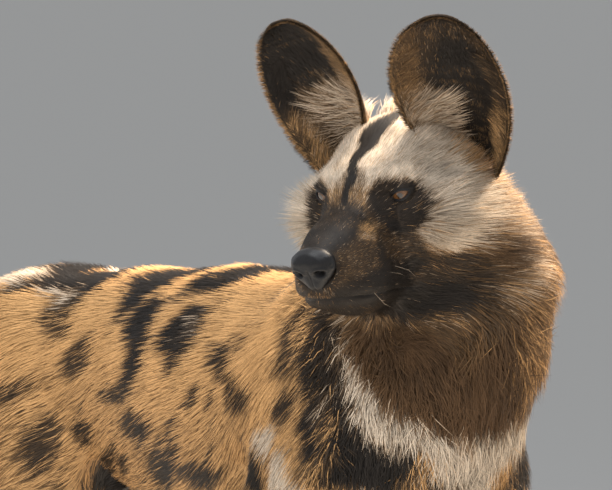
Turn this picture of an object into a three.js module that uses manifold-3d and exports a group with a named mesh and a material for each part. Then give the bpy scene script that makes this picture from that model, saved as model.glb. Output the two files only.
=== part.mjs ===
// African wild dog, standing, life size, with its head turned to its right and its ears up.
// The animal faces -Y, its left side is +X and +Z is up. Units are millimetres and the floor is z = 0.
// Every flesh piece is a capsule whose vertices are pushed out to one smooth body surface, which is a
// blend of muscle and bone volumes, and thin cuts part the pieces from each other.
// The surface is the outside of the coat, out to the tips of the hair.
import * as THREE from "three";
import { mergeVertices } from "three/addons/utils/BufferGeometryUtils.js";
import Module from "manifold-3d";

const wasm = await Module();
wasm.setup();

// Driving dimensions of an adult.
const WITHERS_HEIGHT = 690;
const BODY_LENGTH = 740; // point of the breast to the point of the rump
const CHEST_DEPTH = 272;
const CHEST_HALF_WIDTH = 94;
const FORE_STANCE = 64; // each paw's distance from the middle plane
const HIND_STANCE = 68;
const FORE_STEP = { left: -16, right: 12 }; // how far each paw is set back from square
const HIND_STEP = { left: 24, right: -18 };
const STEP_HEIGHT = 430; // legs slant below this height, to reach their steps
const TAIL_DROP = 330; // how far the tail's tip hangs below its root
const EAR_HALF_WIDTH = 44.5;
const EYE_RADIUS = 11;
const EYE_SPACING = 33; // each eyeball's centre from the middle of the face
const GAP = 0.6; // width of each parting cut

// Pose of the head: where the point between the eyes is, and how the head is turned.
const FACE_POINT = [-88, -374, 762];
const HEAD_YAW = -63.5;
const HEAD_PITCH = 16;
const HEAD_ROLL = -2.5;

const STERNUM_HEIGHT = WITHERS_HEIGHT - CHEST_DEPTH;
const BREAST_Y = -BODY_LENGTH / 2 - 15;
const RUMP_Y = BREAST_Y + BODY_LENGTH;

const radians = THREE.MathUtils.degToRad;
const vector = (point) => new THREE.Vector3(...point);
const clamp = THREE.MathUtils.clamp;

// Volumes: each returns the distance from a point to its surface, negative inside.

// An ellipsoid, turned by Euler angles in degrees.
function muscle(centre, radii, turn = [0, 0, 0]) {
  const [rx, ry, rz] = radii;
  const back = new THREE.Quaternion()
    .setFromEuler(new THREE.Euler(...turn.map(radians)))
    .invert();
  const middle = vector(centre);
  const q = new THREE.Vector3();
  return (p) => {
    q.copy(p).sub(middle).applyQuaternion(back);
    const k = Math.hypot(q.x / rx, q.y / ry, q.z / rz);
    const g = Math.hypot(q.x / rx ** 2, q.y / ry ** 2, q.z / rz ** 2);
    return g < 1e-9 ? -Math.min(rx, ry, rz) : (k * (k - 1)) / g;
  };
}

// A tapered limb from one [point, radius] to the next, with its thickness across X scaled by flatness.
function limbStretch([from, fromRadius], [to, toRadius], flatness) {
  const a = vector(from);
  const along = vector(to).sub(a);
  const q = new THREE.Vector3();
  return (p) => {
    q.copy(p).sub(a);
    const t = clamp(q.dot(along) / along.lengthSq(), 0, 1);
    q.addScaledVector(along, -t);
    q.x /= flatness;
    return (q.length() - THREE.MathUtils.lerp(fromRadius, toRadius, t)) * Math.min(1, flatness);
  };
}

// The union of volumes, with every crease between them filled over a width of softness.
function blend(softness, ...volumes) {
  return (p) => {
    let d = volumes[0](p);
    for (let i = 1; i < volumes.length; i++) {
      const e = volumes[i](p);
      const h = Math.max(softness - Math.abs(d - e), 0) / softness;
      d = Math.min(d, e) - h * h * softness * 0.25;
    }
    return d;
  };
}

// A volume with a soft hollow pressed into it.
function hollowed(softness, volume, ...hollows) {
  return (p) => {
    let d = volume(p);
    for (const hollow of hollows) {
      const e = -hollow(p);
      const h = Math.max(softness - Math.abs(d - e), 0) / softness;
      d = Math.max(d, e) + h * h * softness * 0.25;
    }
    return d;
  };
}

function limb(softness, flatness, ...stations) {
  const stretches = stations.slice(1).map((s, i) => limbStretch(stations[i], s, flatness));
  return blend(softness, ...stretches);
}

// The same volume on the animal's left and right, folded about the middle plane.
function bothSides(volume) {
  const q = new THREE.Vector3();
  return (p) => volume(q.set(Math.abs(p.x), p.y, p.z));
}

// How far a leg is slanted back at a height, from its paw's step.
function slant(step, z) {
  return step * clamp(1 - z / STEP_HEIGHT, 0, 1) ** 1.3;
}

// A left leg's volume as the left and the right leg, each slanted to its own step.
function bothLegs(volume, step) {
  const q = new THREE.Vector3();
  return (p) => {
    const back = slant(p.x > 0 ? step.left : step.right, p.z);
    return volume(q.set(Math.abs(p.x), p.y - back, p.z));
  };
}

// Trunk: a deep chest, a flat back, a tucked-up belly and a lean rump.
const trunkVolume = blend(
  46,
  muscle([0, -150, WITHERS_HEIGHT - CHEST_DEPTH / 2], [CHEST_HALF_WIDTH, 212, CHEST_DEPTH / 2 - 2]),
  muscle([0, -60, 566], [92, 190, 108]),
  limb(40, 0.92, [[0, -40, 598], 80], [[0, 90, 597], 78], [[0, 215, 588], 80]),
  muscle([0, 250, 590], [80, 96, 82]),
  muscle([0, BREAST_Y + 70, 545], [76, 66, 98], [-14, 0, 0]),
  muscle([0, -215, 640], [46, 112, 49]),
);

const foreLegVolume = blend(
  22,
  muscle([66, -262, 560], [34, 60, 100], [-22, 0, 0]),
  limb(26, 0.78, [[70, -300, 520], 50], [[78, -222, 415], 40]),
  muscle([76, -212, 470], [26, 46, 56], [-20, 0, 0]),
);

const foreShankVolume = limb(
  12,
  0.92,
  [[78, -216, 415], 35],
  [[74, -222, 330], 26.5],
  [[66, -230, 215], 18.5],
  [[FORE_STANCE, -233, 178], 19.5],
  [[FORE_STANCE, -240, 120], 15.5],
  [[FORE_STANCE, -250, 62], 17],
);

const thighVolume = blend(
  26,
  limb(30, 0.56, [[60, 222, 575], 84], [[66, 185, 490], 78], [[80, 130, 425], 48]),
  muscle([58, 262, 520], [38, 56, 96], [-16, 0, 0]),
  limb(26, 0.62, [[60, 268, 520], 58], [[72, 226, 390], 36], [[71, 258, 290], 23]),
);

const hindShankVolume = limb(
  14,
  0.8,
  [[80, 140, 432], 48],
  [[77, 190, 350], 38],
  [[71, 262, 262], 22],
  [[HIND_STANCE, 300, 214], 20.5],
  [[HIND_STANCE, 291, 150], 16.5],
  [[HIND_STANCE, 280, 62], 17],
);
const hockVolume = muscle([HIND_STANCE, 318, 226], [13, 13, 24], [-18, 0, 0]);

// Four toes round a central pad. The middle two reach furthest forward.
const TOES = [-1.5, -0.5, 0.5, 1.5].map((place) => ({
  side: place * 12.5,
  reach: 25 - Math.abs(place) * 8.5,
}));

function pawVolume([x, y]) {
  const toes = TOES.map(({ side, reach }) =>
    muscle([x + side, y - reach, 12.5], [9.8, 21, 16], [6, 0, side * 0.5]),
  );
  return blend(7, muscle([x, y + 8, 15], [26, 31, 21]), muscle([x, y + 4, 34], [19, 25, 24]), ...toes);
}

const FORE_PAW = [FORE_STANCE, -266];
const HIND_PAW = [HIND_STANCE, 262];
const PAW_TOP = 58;

// A bushy tail, thickest past its middle, hanging from the rump.
const TAIL_ROOT_Z = 612;
const TAIL_LINE = [
  [0, RUMP_Y - 50, TAIL_ROOT_Z],
  [0, RUMP_Y + 18, TAIL_ROOT_Z - 40],
  [0, RUMP_Y + 46, TAIL_ROOT_Z - 135],
  [0, RUMP_Y + 50, TAIL_ROOT_Z - 235],
  [0, RUMP_Y + 42, TAIL_ROOT_Z - TAIL_DROP],
];
const TAIL_RADII = [27, 24, 30, 34, 15];
const tailVolume = limb(30, 1, ...TAIL_LINE.map((point, i) => [point, TAIL_RADII[i]]));

// Neck: it rises from the shoulders with a full ruff, and bulges to the left as the head turns right.
const NECK_LINE = [
  [0, -205, 585],
  [12, -292, 636],
  [22, -334, 690],
  [-8, -338, 738],
];
const NECK_RADII = [88, 84, 80, 56];
const neckVolume = blend(
  32,
  limb(40, 0.94, ...NECK_LINE.map((point, i) => [point, NECK_RADII[i]])),
  muscle([40, -350, 688], [48, 56, 52]),
  muscle([14, -360, 636], [74, 58, 86]),
);

// Head, in its own frame: origin between the eyes, nose towards -Y, chin down.
const halfHeadVolume = blend(
  16,
  muscle([0, 64, 4], [55, 60, 41]),
  muscle([0, 16, -3], [40, 42, 29]),
  muscle([24, 9, 5], [16, 20, 12], [0, 0, -20]),
  muscle([50, 35, -28], [28, 42, 32], [0, 8, -10]),
  muscle([38, 48, -54], [30, 42, 34]),
  limb(14, 1.08, [[0, 8, -34], 37], [[0, -43, -35.5], 27.5], [[0, -75, -36.5], 22]),
  limb(14, 1.1, [[0, 20, -68], 28], [[0, -38, -65], 22], [[0, -71, -56.5], 14]),
  muscle([17, -42, -57], [17, 37, 20], [0, 0, 10]),
);
const eyeSocket = muscle([EYE_SPACING + 7, -9, 0], [12.5, 10, 6.8], [0, 0, 28]);
const headVolume = bothSides(hollowed(9, halfHeadVolume, eyeSocket));
const cheekRuffVolume = bothSides(muscle([51, 78, -36], [28, 40, 44], [0, 0, -8]));
const throatVolume = limb(20, 1, [[0, 6, -70], 26], [[0, 70, -84], 44]);

const headTurn = new THREE.Quaternion().setFromEuler(
  new THREE.Euler(radians(HEAD_PITCH), radians(HEAD_ROLL), radians(HEAD_YAW), "ZXY"),
);
const headPlace = new THREE.Matrix4().compose(vector(FACE_POINT), headTurn, new THREE.Vector3(1, 1, 1));
const toHead = headPlace.clone().invert();
const fromHead = (point) => vector(point).applyMatrix4(headPlace);

function placedOnHead(volume) {
  const q = new THREE.Vector3();
  return (p) => volume(q.copy(p).applyMatrix4(toHead));
}

const headAndRuff = placedOnHead(blend(22, headVolume, cheekRuffVolume, throatVolume));
const hindVolume = blend(8, hindShankVolume, hockVolume);
const body = blend(
  34,
  trunkVolume,
  bothLegs(blend(20, foreLegVolume, foreShankVolume), FORE_STEP),
  bothLegs(blend(24, thighVolume, hindVolume), HIND_STEP),
  neckVolume,
);
const bodyWithHead = blend(14, body, headAndRuff);
const bodyWithTail = blend(24, body, tailVolume);
const torso = blend(
  34,
  trunkVolume,
  bothLegs(foreLegVolume, FORE_STEP),
  bothLegs(thighVolume, HIND_STEP),
  neckVolume,
  tailVolume,
);

// Shapes.

// A closed geometry as a solid that can be cut and joined.
function solidOf(geometry) {
  const bare = geometry.clone();
  bare.deleteAttribute("normal");
  bare.deleteAttribute("uv");
  const merged = mergeVertices(bare, 1e-4);
  return new wasm.Manifold(
    new wasm.Mesh({
      numProp: 3,
      vertProperties: new Float32Array(merged.attributes.position.array),
      triVerts: new Uint32Array(merged.index.array),
    }),
  );
}

// How far along a ray the surface lies, from a start inside it.
function reachOf(volume, start, direction, limit) {
  const p = new THREE.Vector3();
  const at = (r) => volume(p.copy(start).addScaledVector(direction, r));
  let near = 0;
  let far = 0;
  for (let d = at(0); d < 0 && far < limit; d = at(far)) {
    near = far;
    far += Math.max(1.5, -d * 0.8);
  }
  if (far >= limit) return limit;
  for (let i = 0; i < 14; i++) {
    const middle = (near + far) / 2;
    if (at(middle) < 0) near = middle;
    else far = middle;
  }
  return (near + far) / 2;
}

// A capsule bent along a line and pushed out to the volume's surface.
function wrapped(volume, line, { rings, sides, capRings, limit }) {
  const capsule = new THREE.CapsuleGeometry(1, 2, capRings, sides, rings);
  const curve = new THREE.CatmullRomCurve3(line.map(vector), false, "centripetal");
  const places = capsule.attributes.position;
  const normals = capsule.attributes.normal;
  const side = new THREE.Vector3();
  const up = new THREE.Vector3();
  const direction = new THREE.Vector3();
  for (let i = 0; i < places.count; i++) {
    const share = (clamp(places.getY(i), -1, 1) + 1) / 2;
    const start = curve.getPointAt(share);
    const tangent = curve.getTangentAt(share);
    side.set(1, 0, 0).addScaledVector(tangent, -tangent.x).normalize();
    up.crossVectors(side, tangent);
    direction
      .set(0, 0, 0)
      .addScaledVector(side, normals.getX(i))
      .addScaledVector(tangent, normals.getY(i))
      .addScaledVector(up, normals.getZ(i))
      .normalize();
    start.addScaledVector(direction, reachOf(volume, start, direction, limit));
    places.setXYZ(i, start.x, start.y, start.z);
  }
  return solidOf(capsule);
}

// Keeps the part of a solid on the side of a plane that its normal points to, short of it by half a gap.
function keptPast(solid, point, normal) {
  const n = vector(normal).normalize();
  return solid.trimByPlane(n.toArray(), n.dot(vector(point)) + GAP / 2);
}

function parted(solid, point, normal) {
  const reverse = normal.map((value) => -value);
  return [keptPast(solid, point, normal), keptPast(solid, point, reverse)];
}

function mirrored(solid) {
  return solid.mirror([1, 0, 0]);
}

// A rounded arch over a joint with a block below it, which holds one leg and nothing else of the trunk.
function legSpace({ y, z, radiusY, radiusZ, inner }, grown) {
  const depth = 160;
  const arch = new THREE.CylinderGeometry(1, 1, depth, 36).rotateZ(Math.PI / 2);
  arch.scale(1, radiusY + grown, radiusZ + grown).translate(inner - grown + depth / 2, y, z);
  const block = new THREE.BoxGeometry(depth, 2 * (radiusY + grown), z + 60);
  block.translate(inner - grown + depth / 2, y, (z - 60) / 2);
  return solidOf(arch).add(solidOf(block));
}

const FORE_SPACE = { y: -262, z: 498, radiusY: 92, radiusZ: 88, inner: 40 };
const HIND_SPACE = { y: 205, z: 500, radiusY: 132, radiusZ: 104, inner: 34 };

// Trunk, neck and tail.
const NECK_CUT = { point: [0, -268, 622], normal: [0, -0.6, 0.8] };
const HEAD_CUT = { point: [0, 86, -18], normal: [0, -0.62, 0.78] }; // in the head's frame
const TAIL_CUT = { point: [0, RUMP_Y + 4, TAIL_ROOT_Z - 22], normal: [0, 0.88, -0.47] };

function makeTrunk() {
  const line = [
    [0, BREAST_Y + 85, 560],
    [0, -170, 552],
    [0, 0, 575],
    [0, 150, 590],
    [0, RUMP_Y - 95, 590],
  ];
  const whole = wrapped(torso, line, { rings: 15, sides: 20, capRings: 4, limit: 160 });
  let trunk = keptPast(whole, NECK_CUT.point, NECK_CUT.normal.map((v) => -v));
  trunk = keptPast(trunk, TAIL_CUT.point, TAIL_CUT.normal.map((v) => -v));
  for (const space of [FORE_SPACE, HIND_SPACE]) {
    const removed = legSpace(space, GAP);
    trunk = trunk.subtract(removed).subtract(mirrored(removed));
  }
  return trunk;
}

// The neck before its cuts. Grown makes it larger all round by that much.
function neckShell(grown) {
  const line = [...NECK_LINE.slice(0, 3), fromHead([0, 76, -24]).toArray()];
  const volume = (p) => bodyWithHead(p) - grown;
  return wrapped(volume, line, { rings: 10, sides: 24, capRings: 3, limit: 150 });
}

function makeNeck() {
  const headSide = vector(HEAD_CUT.normal).applyQuaternion(headTurn).negate();
  const neck = keptPast(neckShell(0), NECK_CUT.point, NECK_CUT.normal);
  return keptPast(neck, fromHead(HEAD_CUT.point).toArray(), headSide.toArray());
}

function makeTail() {
  const whole = wrapped(bodyWithTail, TAIL_LINE, { rings: 12, sides: 10, capRings: 2, limit: 60 });
  const tail = keptPast(whole, TAIL_CUT.point, TAIL_CUT.normal);
  return parted(tail, [0, RUMP_Y + 50, TAIL_ROOT_Z - 190], [0, 0.02, -1]);
}

// Legs. Each is wrapped whole, then cut at the elbow or knee, and its upper part kept in its leg space.
const SIDES = { left: 1, right: -1 };

// A point of a left leg as a point of the leg on one side, slanted to its step.
function legPoint(side, step, [x, y, z]) {
  return [SIDES[side] * x, y + slant(step[side], z), z];
}

function makeForeLeg(side) {
  const at = (...point) => legPoint(side, FORE_STEP, point);
  const line = [
    at(62, -272, 540),
    at(74, -235, 440),
    at(76, -219, 360),
    at(67, -229, 220),
    at(FORE_STANCE, -240, 120),
    at(FORE_STANCE, -250, 58),
  ];
  const whole = wrapped(body, line, { rings: 14, sides: 12, capRings: 2, limit: 96 });
  const [shank, upper] = parted(whole, [0, -215, 398], [0, -0.25, -1]);
  const space = legSpace(FORE_SPACE, 0);
  return {
    foreleg_upper: upper.intersect(side === "left" ? space : mirrored(space)),
    foreleg_lower: keptPast(shank, [0, 0, PAW_TOP], [0, 0, 1]),
    forepaw: makePaw(at(...FORE_PAW, 0), body),
  };
}

function makeHindLeg(side) {
  const at = (...point) => legPoint(side, HIND_STEP, point);
  const line = [
    at(60, 215, 560),
    at(70, 175, 480),
    at(78, 158, 400),
    at(73, 235, 296),
    at(HIND_STANCE + 1, 298, 216),
    at(HIND_STANCE, 288, 120),
    at(HIND_STANCE, 280, 58),
  ];
  const whole = wrapped(body, line, { rings: 16, sides: 12, capRings: 2, limit: 125 });
  const [shank, upper] = parted(whole, [0, 185, 345], [0, 0.15, -1]);
  const space = legSpace(HIND_SPACE, 0);
  return {
    hindleg_upper: upper.intersect(side === "left" ? space : mirrored(space)),
    hindleg_lower: keptPast(shank, [0, 0, PAW_TOP], [0, 0, 1]),
    hindpaw: makePaw(at(...HIND_PAW, 0), body),
  };
}

// A paw with toes and four claws, flat where its pads meet the floor.
function makePaw([x, y], legs) {
  const line = [
    [x, y - 10, 10],
    [x, y - 4, 28],
    [x, y + 12, 66],
  ];
  const volume = blend(8, pawVolume([x, y]), legs);
  let paw = wrapped(volume, line, { rings: 5, sides: 20, capRings: 2, limit: 60 });
  for (const toe of TOES) {
    const claw = new THREE.ConeGeometry(2.9, 18, 5).rotateX(radians(-157));
    claw.translate(x + toe.side * 1.02, y - toe.reach - 19, 12);
    paw = paw.add(solidOf(claw));
  }
  return keptPast(keptPast(paw, [0, 0, PAW_TOP], [0, 0, -1]), [0, 0, -GAP / 2], [0, 0, 1]);
}

// Head pieces, made in the head's own frame.
const EYE_DEPTH = 7; // from the point between the eyes back to an eyeball's centre
const eyeCentre = (side) => [side * EYE_SPACING, EYE_DEPTH, -1];
const MOUTH_CORNER = [0, -79]; // y and z of the corners of the mouth

function eyeball(side, grown) {
  const ball = new THREE.SphereGeometry(EYE_RADIUS + grown, 12, 7).rotateX(Math.PI / 2);
  return solidOf(ball.translate(...eyeCentre(side)));
}

// The nose leather: a rounded block with a split under it, wider above than below.
function nosePad(grown) {
  const pad = blend(
    5,
    muscle([0, -88.5, -27.5], [17.5, 12, 9.5]),
    muscle([0, -86.5, -39.5], [11, 9, 13]),
    bothSides(muscle([9.5, -87.5, -32.5], [8.5, 10, 9])),
  );
  const outline = [
    [0, -83.5, -33.5],
    [0, -91.5, -32.5],
  ];
  return wrapped((p) => pad(p) - grown, outline, { rings: 2, sides: 14, capRings: 3, limit: 40 });
}

// An ear: a broad rounded leaf, cupped forward, with its sides curling round to a funnel at the base.
// Up runs from 0 at the base to 1 at the tip, and across from -1 on the inner margin to 1 on the outer.
const EAR_BASE = [51, 80, -2];
const EAR_TIP = [73, 42, 132.5];
const EAR_WIDEST = 0.55; // where it is widest, and how wide the base is beside that
const EAR_BASE_WIDTH = 0.4;
const EAR_CUP = [38, 14]; // how far the margins stand in front of the middle, at the base and the tip
const EAR_CURL = [125, 44]; // half of the arc that a cross-section bends through
const EAR_THICKNESS = [5.2, 2.4]; // in the middle and at the rim

// How each ear is turned: facing is how far it opens outwards, in degrees, and drop is how much lower
// its outer margin starts than its inner one.
const EARS = {
  left: { facing: 20, drop: 22 },
  right: { facing: 5, drop: 18 },
};

function earWidth(up) {
  const above = (up - EAR_WIDEST) / (1 - EAR_WIDEST);
  if (above > 0) return EAR_HALF_WIDTH * Math.sqrt(Math.max(0, 1 - above * above));
  const grown = Math.sin((Math.PI / 2) * (up / EAR_WIDEST));
  return EAR_HALF_WIDTH * THREE.MathUtils.lerp(EAR_BASE_WIDTH, 1, grown);
}

// A point of a left ear, lifted off its middle surface.
function earPoint({ facing, drop }, up, across, lift) {
  const base = vector(EAR_BASE);
  const axis = vector(EAR_TIP).sub(base);
  const opening = new THREE.Vector3(Math.sin(radians(facing)), -Math.cos(radians(facing)), 0);
  opening.addScaledVector(axis, -opening.dot(axis) / axis.lengthSq()).normalize();
  const outward = new THREE.Vector3().crossVectors(axis, opening).normalize();
  const opened = 1 - (1 - Math.min(1, up / 0.8)) ** 2;
  const curl = radians(THREE.MathUtils.lerp(EAR_CURL[0], EAR_CURL[1], opened));
  const rounding = up > EAR_WIDEST ? earWidth(up) / EAR_HALF_WIDTH : 1;
  const cup = THREE.MathUtils.lerp(EAR_CUP[0], EAR_CUP[1], opened) * rounding;
  const width = earWidth(up) / Math.sin(Math.min(curl, Math.PI / 2));
  const depth = cup / (1 - Math.cos(curl));
  const turn = across * curl;
  const along = new THREE.Vector2(width * Math.cos(turn), depth * Math.sin(turn)).normalize();
  const lowered = (drop / axis.length()) * (1 - up * up) * (0.35 + 0.65 * across);
  return base
    .addScaledVector(axis, up - lowered)
    .addScaledVector(outward, width * Math.sin(turn) - lift * along.y)
    .addScaledVector(opening, depth * (1 - Math.cos(turn)) - 0.6 * cup + lift * along.x);
}

function makeEar(side, { rows, columns }) {
  const corners = [];
  const faces = [];
  const corner = (front, i, j) => (front * (rows + 1) + i) * (columns + 1) + j;
  const quad = (a, b, c, d) => faces.push(a, b, c, a, c, d);
  for (const front of [0, 1]) {
    for (let i = 0; i <= rows; i++) {
      for (let j = 0; j <= columns; j++) {
        const up = 0.99 * Math.sin(((i / rows) * Math.PI) / 2) ** 0.9;
        const across = (2 * j) / columns - 1;
        const rim = Math.max(across ** 4, up ** 6);
        const half = THREE.MathUtils.lerp(...EAR_THICKNESS, rim) / 2;
        corners.push(earPoint(EARS[side], up, across, front ? half : -half));
      }
    }
  }
  for (let i = 0; i < rows; i++) {
    for (let j = 0; j < columns; j++) {
      quad(corner(1, i, j), corner(1, i, j + 1), corner(1, i + 1, j + 1), corner(1, i + 1, j));
      quad(corner(0, i, j), corner(0, i + 1, j), corner(0, i + 1, j + 1), corner(0, i, j + 1));
    }
    quad(corner(0, i, 0), corner(1, i, 0), corner(1, i + 1, 0), corner(0, i + 1, 0));
    quad(corner(1, i, columns), corner(0, i, columns), corner(0, i + 1, columns), corner(1, i + 1, columns));
  }
  for (let j = 0; j < columns; j++) {
    quad(corner(0, 0, j), corner(0, 0, j + 1), corner(1, 0, j + 1), corner(1, 0, j));
    quad(corner(1, rows, j), corner(1, rows, j + 1), corner(0, rows, j + 1), corner(0, rows, j));
  }
  const leaf = solidOf(new THREE.BufferGeometry().setFromPoints(corners).setIndex(faces));
  const skin = headShell(GAP).add(neckShell(GAP).transform(toHead.elements));
  const ear = (side === "left" ? leaf : mirrored(leaf)).subtract(skin).decompose();
  return ear.sort((a, b) => b.volume() - a.volume())[0];
}

// The head before its cuts. Grown makes it larger all round by that much.
function headShell(grown) {
  const line = [
    [0, 84, -14],
    [0, 40, -20],
    [0, -10, -36],
    [0, -73, -44],
  ];
  const volume = (p) => bodyWithHead(p.clone().applyMatrix4(headPlace)) - grown;
  return wrapped(volume, line, { rings: 18, sides: 28, capRings: 4, limit: 98 });
}

function makeHead() {
  let head = keptPast(headShell(0), HEAD_CUT.point, HEAD_CUT.normal);
  for (const side of [-1, 1]) head = head.subtract(eyeball(side, GAP / 2));
  head = head.subtract(nosePad(GAP / 2));

  // The mouth is a thin closed slit from under the nose back to its corners, which parts the jaw.
  const slit = new THREE.BoxGeometry(160, 110, GAP).translate(0, -55, 0).rotateX(radians(-13));
  const behind = new THREE.BoxGeometry(160, GAP, 90).translate(0, 0, -45).rotateX(radians(40));
  for (const cut of [slit, behind]) {
    head = head.subtract(solidOf(cut.translate(0, MOUTH_CORNER[0], MOUTH_CORNER[1])));
  }
  const pieces = head.decompose();
  pieces.sort((a, b) => b.volume() - a.volume());
  return { skull: pieces[0], jaw: pieces[1] };
}

// Finishes of the pieces.
const finish = (color, roughness) => new THREE.MeshStandardMaterial({ color, roughness, metalness: 0 });
const tanCoat = finish(0xb88a52, 0.9);
const darkCoat = finish(0x2a221e, 0.9);
const paleCoat = finish(0xcbbda3, 0.9);
const brownCoat = finish(0x5b412c, 0.9);
const eyeSurface = finish(0x3a2413, 0.15);
const noseLeather = finish(0x111114, 0.35);

const animal = new THREE.Group();
const headGroup = new THREE.Group();
headGroup.applyMatrix4(headPlace);
animal.add(headGroup);

function addPiece(group, name, solid, material) {
  const { numProp, vertProperties, triVerts } = solid.getMesh();
  const geometry = new THREE.BufferGeometry();
  const buffer = new THREE.InterleavedBuffer(new Float32Array(vertProperties), numProp);
  geometry.setAttribute("position", new THREE.InterleavedBufferAttribute(buffer, 3, 0));
  geometry.setIndex(new THREE.BufferAttribute(new Uint32Array(triVerts), 1));
  const flat = geometry.toNonIndexed();
  flat.computeVertexNormals();
  const mesh = new THREE.Mesh(flat, material);
  mesh.name = name;
  group.add(mesh);
}

addPiece(animal, "trunk", makeTrunk(), tanCoat);
addPiece(animal, "neck", makeNeck(), brownCoat);
const [tailBrush, tailBase] = makeTail();
addPiece(animal, "tail_base", tailBase, tanCoat);
addPiece(animal, "tail_brush", tailBrush, paleCoat);

const legFinishes = {
  foreleg_upper: darkCoat,
  foreleg_lower: paleCoat,
  forepaw: paleCoat,
  hindleg_upper: tanCoat,
  hindleg_lower: darkCoat,
  hindpaw: paleCoat,
};
for (const side of Object.keys(SIDES)) {
  for (const [name, solid] of Object.entries({ ...makeForeLeg(side), ...makeHindLeg(side) })) {
    addPiece(animal, name + "_" + side, solid, legFinishes[name]);
  }
}

const { skull, jaw } = makeHead();
addPiece(headGroup, "head", skull, paleCoat);
addPiece(headGroup, "lower_jaw", jaw, darkCoat);
addPiece(headGroup, "nose", nosePad(0), noseLeather);
for (const [side, sign] of Object.entries(SIDES)) {
  addPiece(headGroup, "eye_" + side, eyeball(sign, 0), eyeSurface);
  addPiece(headGroup, "ear_" + side, makeEar(side, { rows: 8, columns: 8 }), darkCoat);
}

// The origin is on the floor under the middle of the animal's box.
const box = new THREE.Box3().setFromObject(animal, true);
const middle = box.getCenter(new THREE.Vector3());
animal.position.set(-middle.x, -middle.y, -box.min.z);

export default animal;
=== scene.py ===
import math

import bmesh
import bpy
import numpy as np
from mathutils import Matrix, Vector
from mathutils.bvhtree import BVHTree
from mathutils.kdtree import KDTree


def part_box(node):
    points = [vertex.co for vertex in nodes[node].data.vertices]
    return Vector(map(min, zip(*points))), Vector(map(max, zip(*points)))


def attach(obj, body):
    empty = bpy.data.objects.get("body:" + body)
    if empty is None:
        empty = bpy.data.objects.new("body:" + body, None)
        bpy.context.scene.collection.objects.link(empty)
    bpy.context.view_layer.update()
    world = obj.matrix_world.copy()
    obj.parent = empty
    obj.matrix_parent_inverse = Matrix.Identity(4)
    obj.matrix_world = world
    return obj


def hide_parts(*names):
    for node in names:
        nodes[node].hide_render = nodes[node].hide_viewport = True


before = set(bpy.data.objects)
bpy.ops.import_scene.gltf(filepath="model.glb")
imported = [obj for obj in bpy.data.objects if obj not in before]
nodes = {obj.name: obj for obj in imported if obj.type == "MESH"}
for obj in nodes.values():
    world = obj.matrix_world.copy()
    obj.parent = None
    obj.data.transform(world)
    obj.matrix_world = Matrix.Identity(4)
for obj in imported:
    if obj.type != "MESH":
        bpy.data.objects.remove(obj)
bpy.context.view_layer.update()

# African wild dog, standing, head turned to its right. Sizes and places are millimetres; mm makes them metres.
# Body places are measured from the middle plane of the body: x left, y back, z up from the floor.
# Head places are measured from the point between the eyes and turn with the head.
mm = 0.001
rng = np.random.default_rng(11)

eyeBoxes = [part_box("eye_left"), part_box("eye_right")]
eyeMiddles = [(low + high) / 2 / mm for low, high in eyeBoxes]

pose = {
    "bodyOrigin": (24.9, 2.5, 0.0),  # where the body's own places are measured from, in the frame
    "headYaw": -63.5,
    "headPitch": 16.0,
    "headRoll": -2.5,
    "eyePlace": (33.0, 7.0, -1.0),  # of the left eye's middle, in the head
    "eyeRadius": 11.0,
}

turns = [(pose["headYaw"], "Z"), (pose["headPitch"], "X"), (pose["headRoll"], "Y")]
headTurn = Matrix.Identity(3)
for degrees, axis in turns:
    headTurn = headTurn @ Matrix.Rotation(math.radians(degrees), 3, axis)
headAxes = np.array(headTurn)
eyeDrop = headTurn @ Vector((0, pose["eyePlace"][1], pose["eyePlace"][2]))
headOrigin = np.array((eyeMiddles[0] + eyeMiddles[1]) / 2 - eyeDrop)
bodyOrigin = np.array(pose["bodyOrigin"])


def headToFrame(places):
    return np.asarray(places, float) @ headAxes.T + headOrigin


def frameToHead(places):
    return (np.asarray(places, float) - headOrigin) @ headAxes


def smoothStep(low, high, value):
    t = np.clip((value - low) / (high - low), 0, 1)
    return t * t * (3 - 2 * t)


def unit(vectors):
    return vectors / np.maximum(np.linalg.norm(vectors, axis=-1, keepdims=True), 1e-9)


def latticeValue(cells, seed):
    # one repeatable number from -1 to 1 for each whole-number cell
    x, y, z = cells.T
    mixed = (x * 73856093) ^ (y * 19349663) ^ (z * 83492791) ^ (seed * 2654435761)
    mixed = (mixed & 0xFFFFFFFF).astype(np.uint64)
    mixed = ((mixed ^ (mixed >> np.uint64(15))) * np.uint64(2246822519)) & np.uint64(0xFFFFFFFF)
    mixed = ((mixed ^ (mixed >> np.uint64(13))) * np.uint64(3266489917)) & np.uint64(0xFFFFFFFF)
    mixed = mixed ^ (mixed >> np.uint64(16))
    return mixed.astype(float) / 0x7FFFFFFF - 1


def softNoise(places, size, seed):
    # smooth random values from -1 to 1 that change over about one size
    scaled = places / size
    cells = np.floor(scaled).astype(np.int64)
    part = scaled - cells
    part = part * part * (3 - 2 * part)
    total = np.zeros(len(places))
    for corner in range(8):
        step = np.array([corner & 1, corner >> 1 & 1, corner >> 2 & 1])
        weight = np.prod(np.where(step == 1, part, 1 - part), axis=1)
        total += weight * latticeValue(cells + step, seed)
    return total


def noiseVectors(places, size, seed):
    return np.stack([softNoise(places, size, seed + k) for k in range(3)], axis=1)


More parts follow.
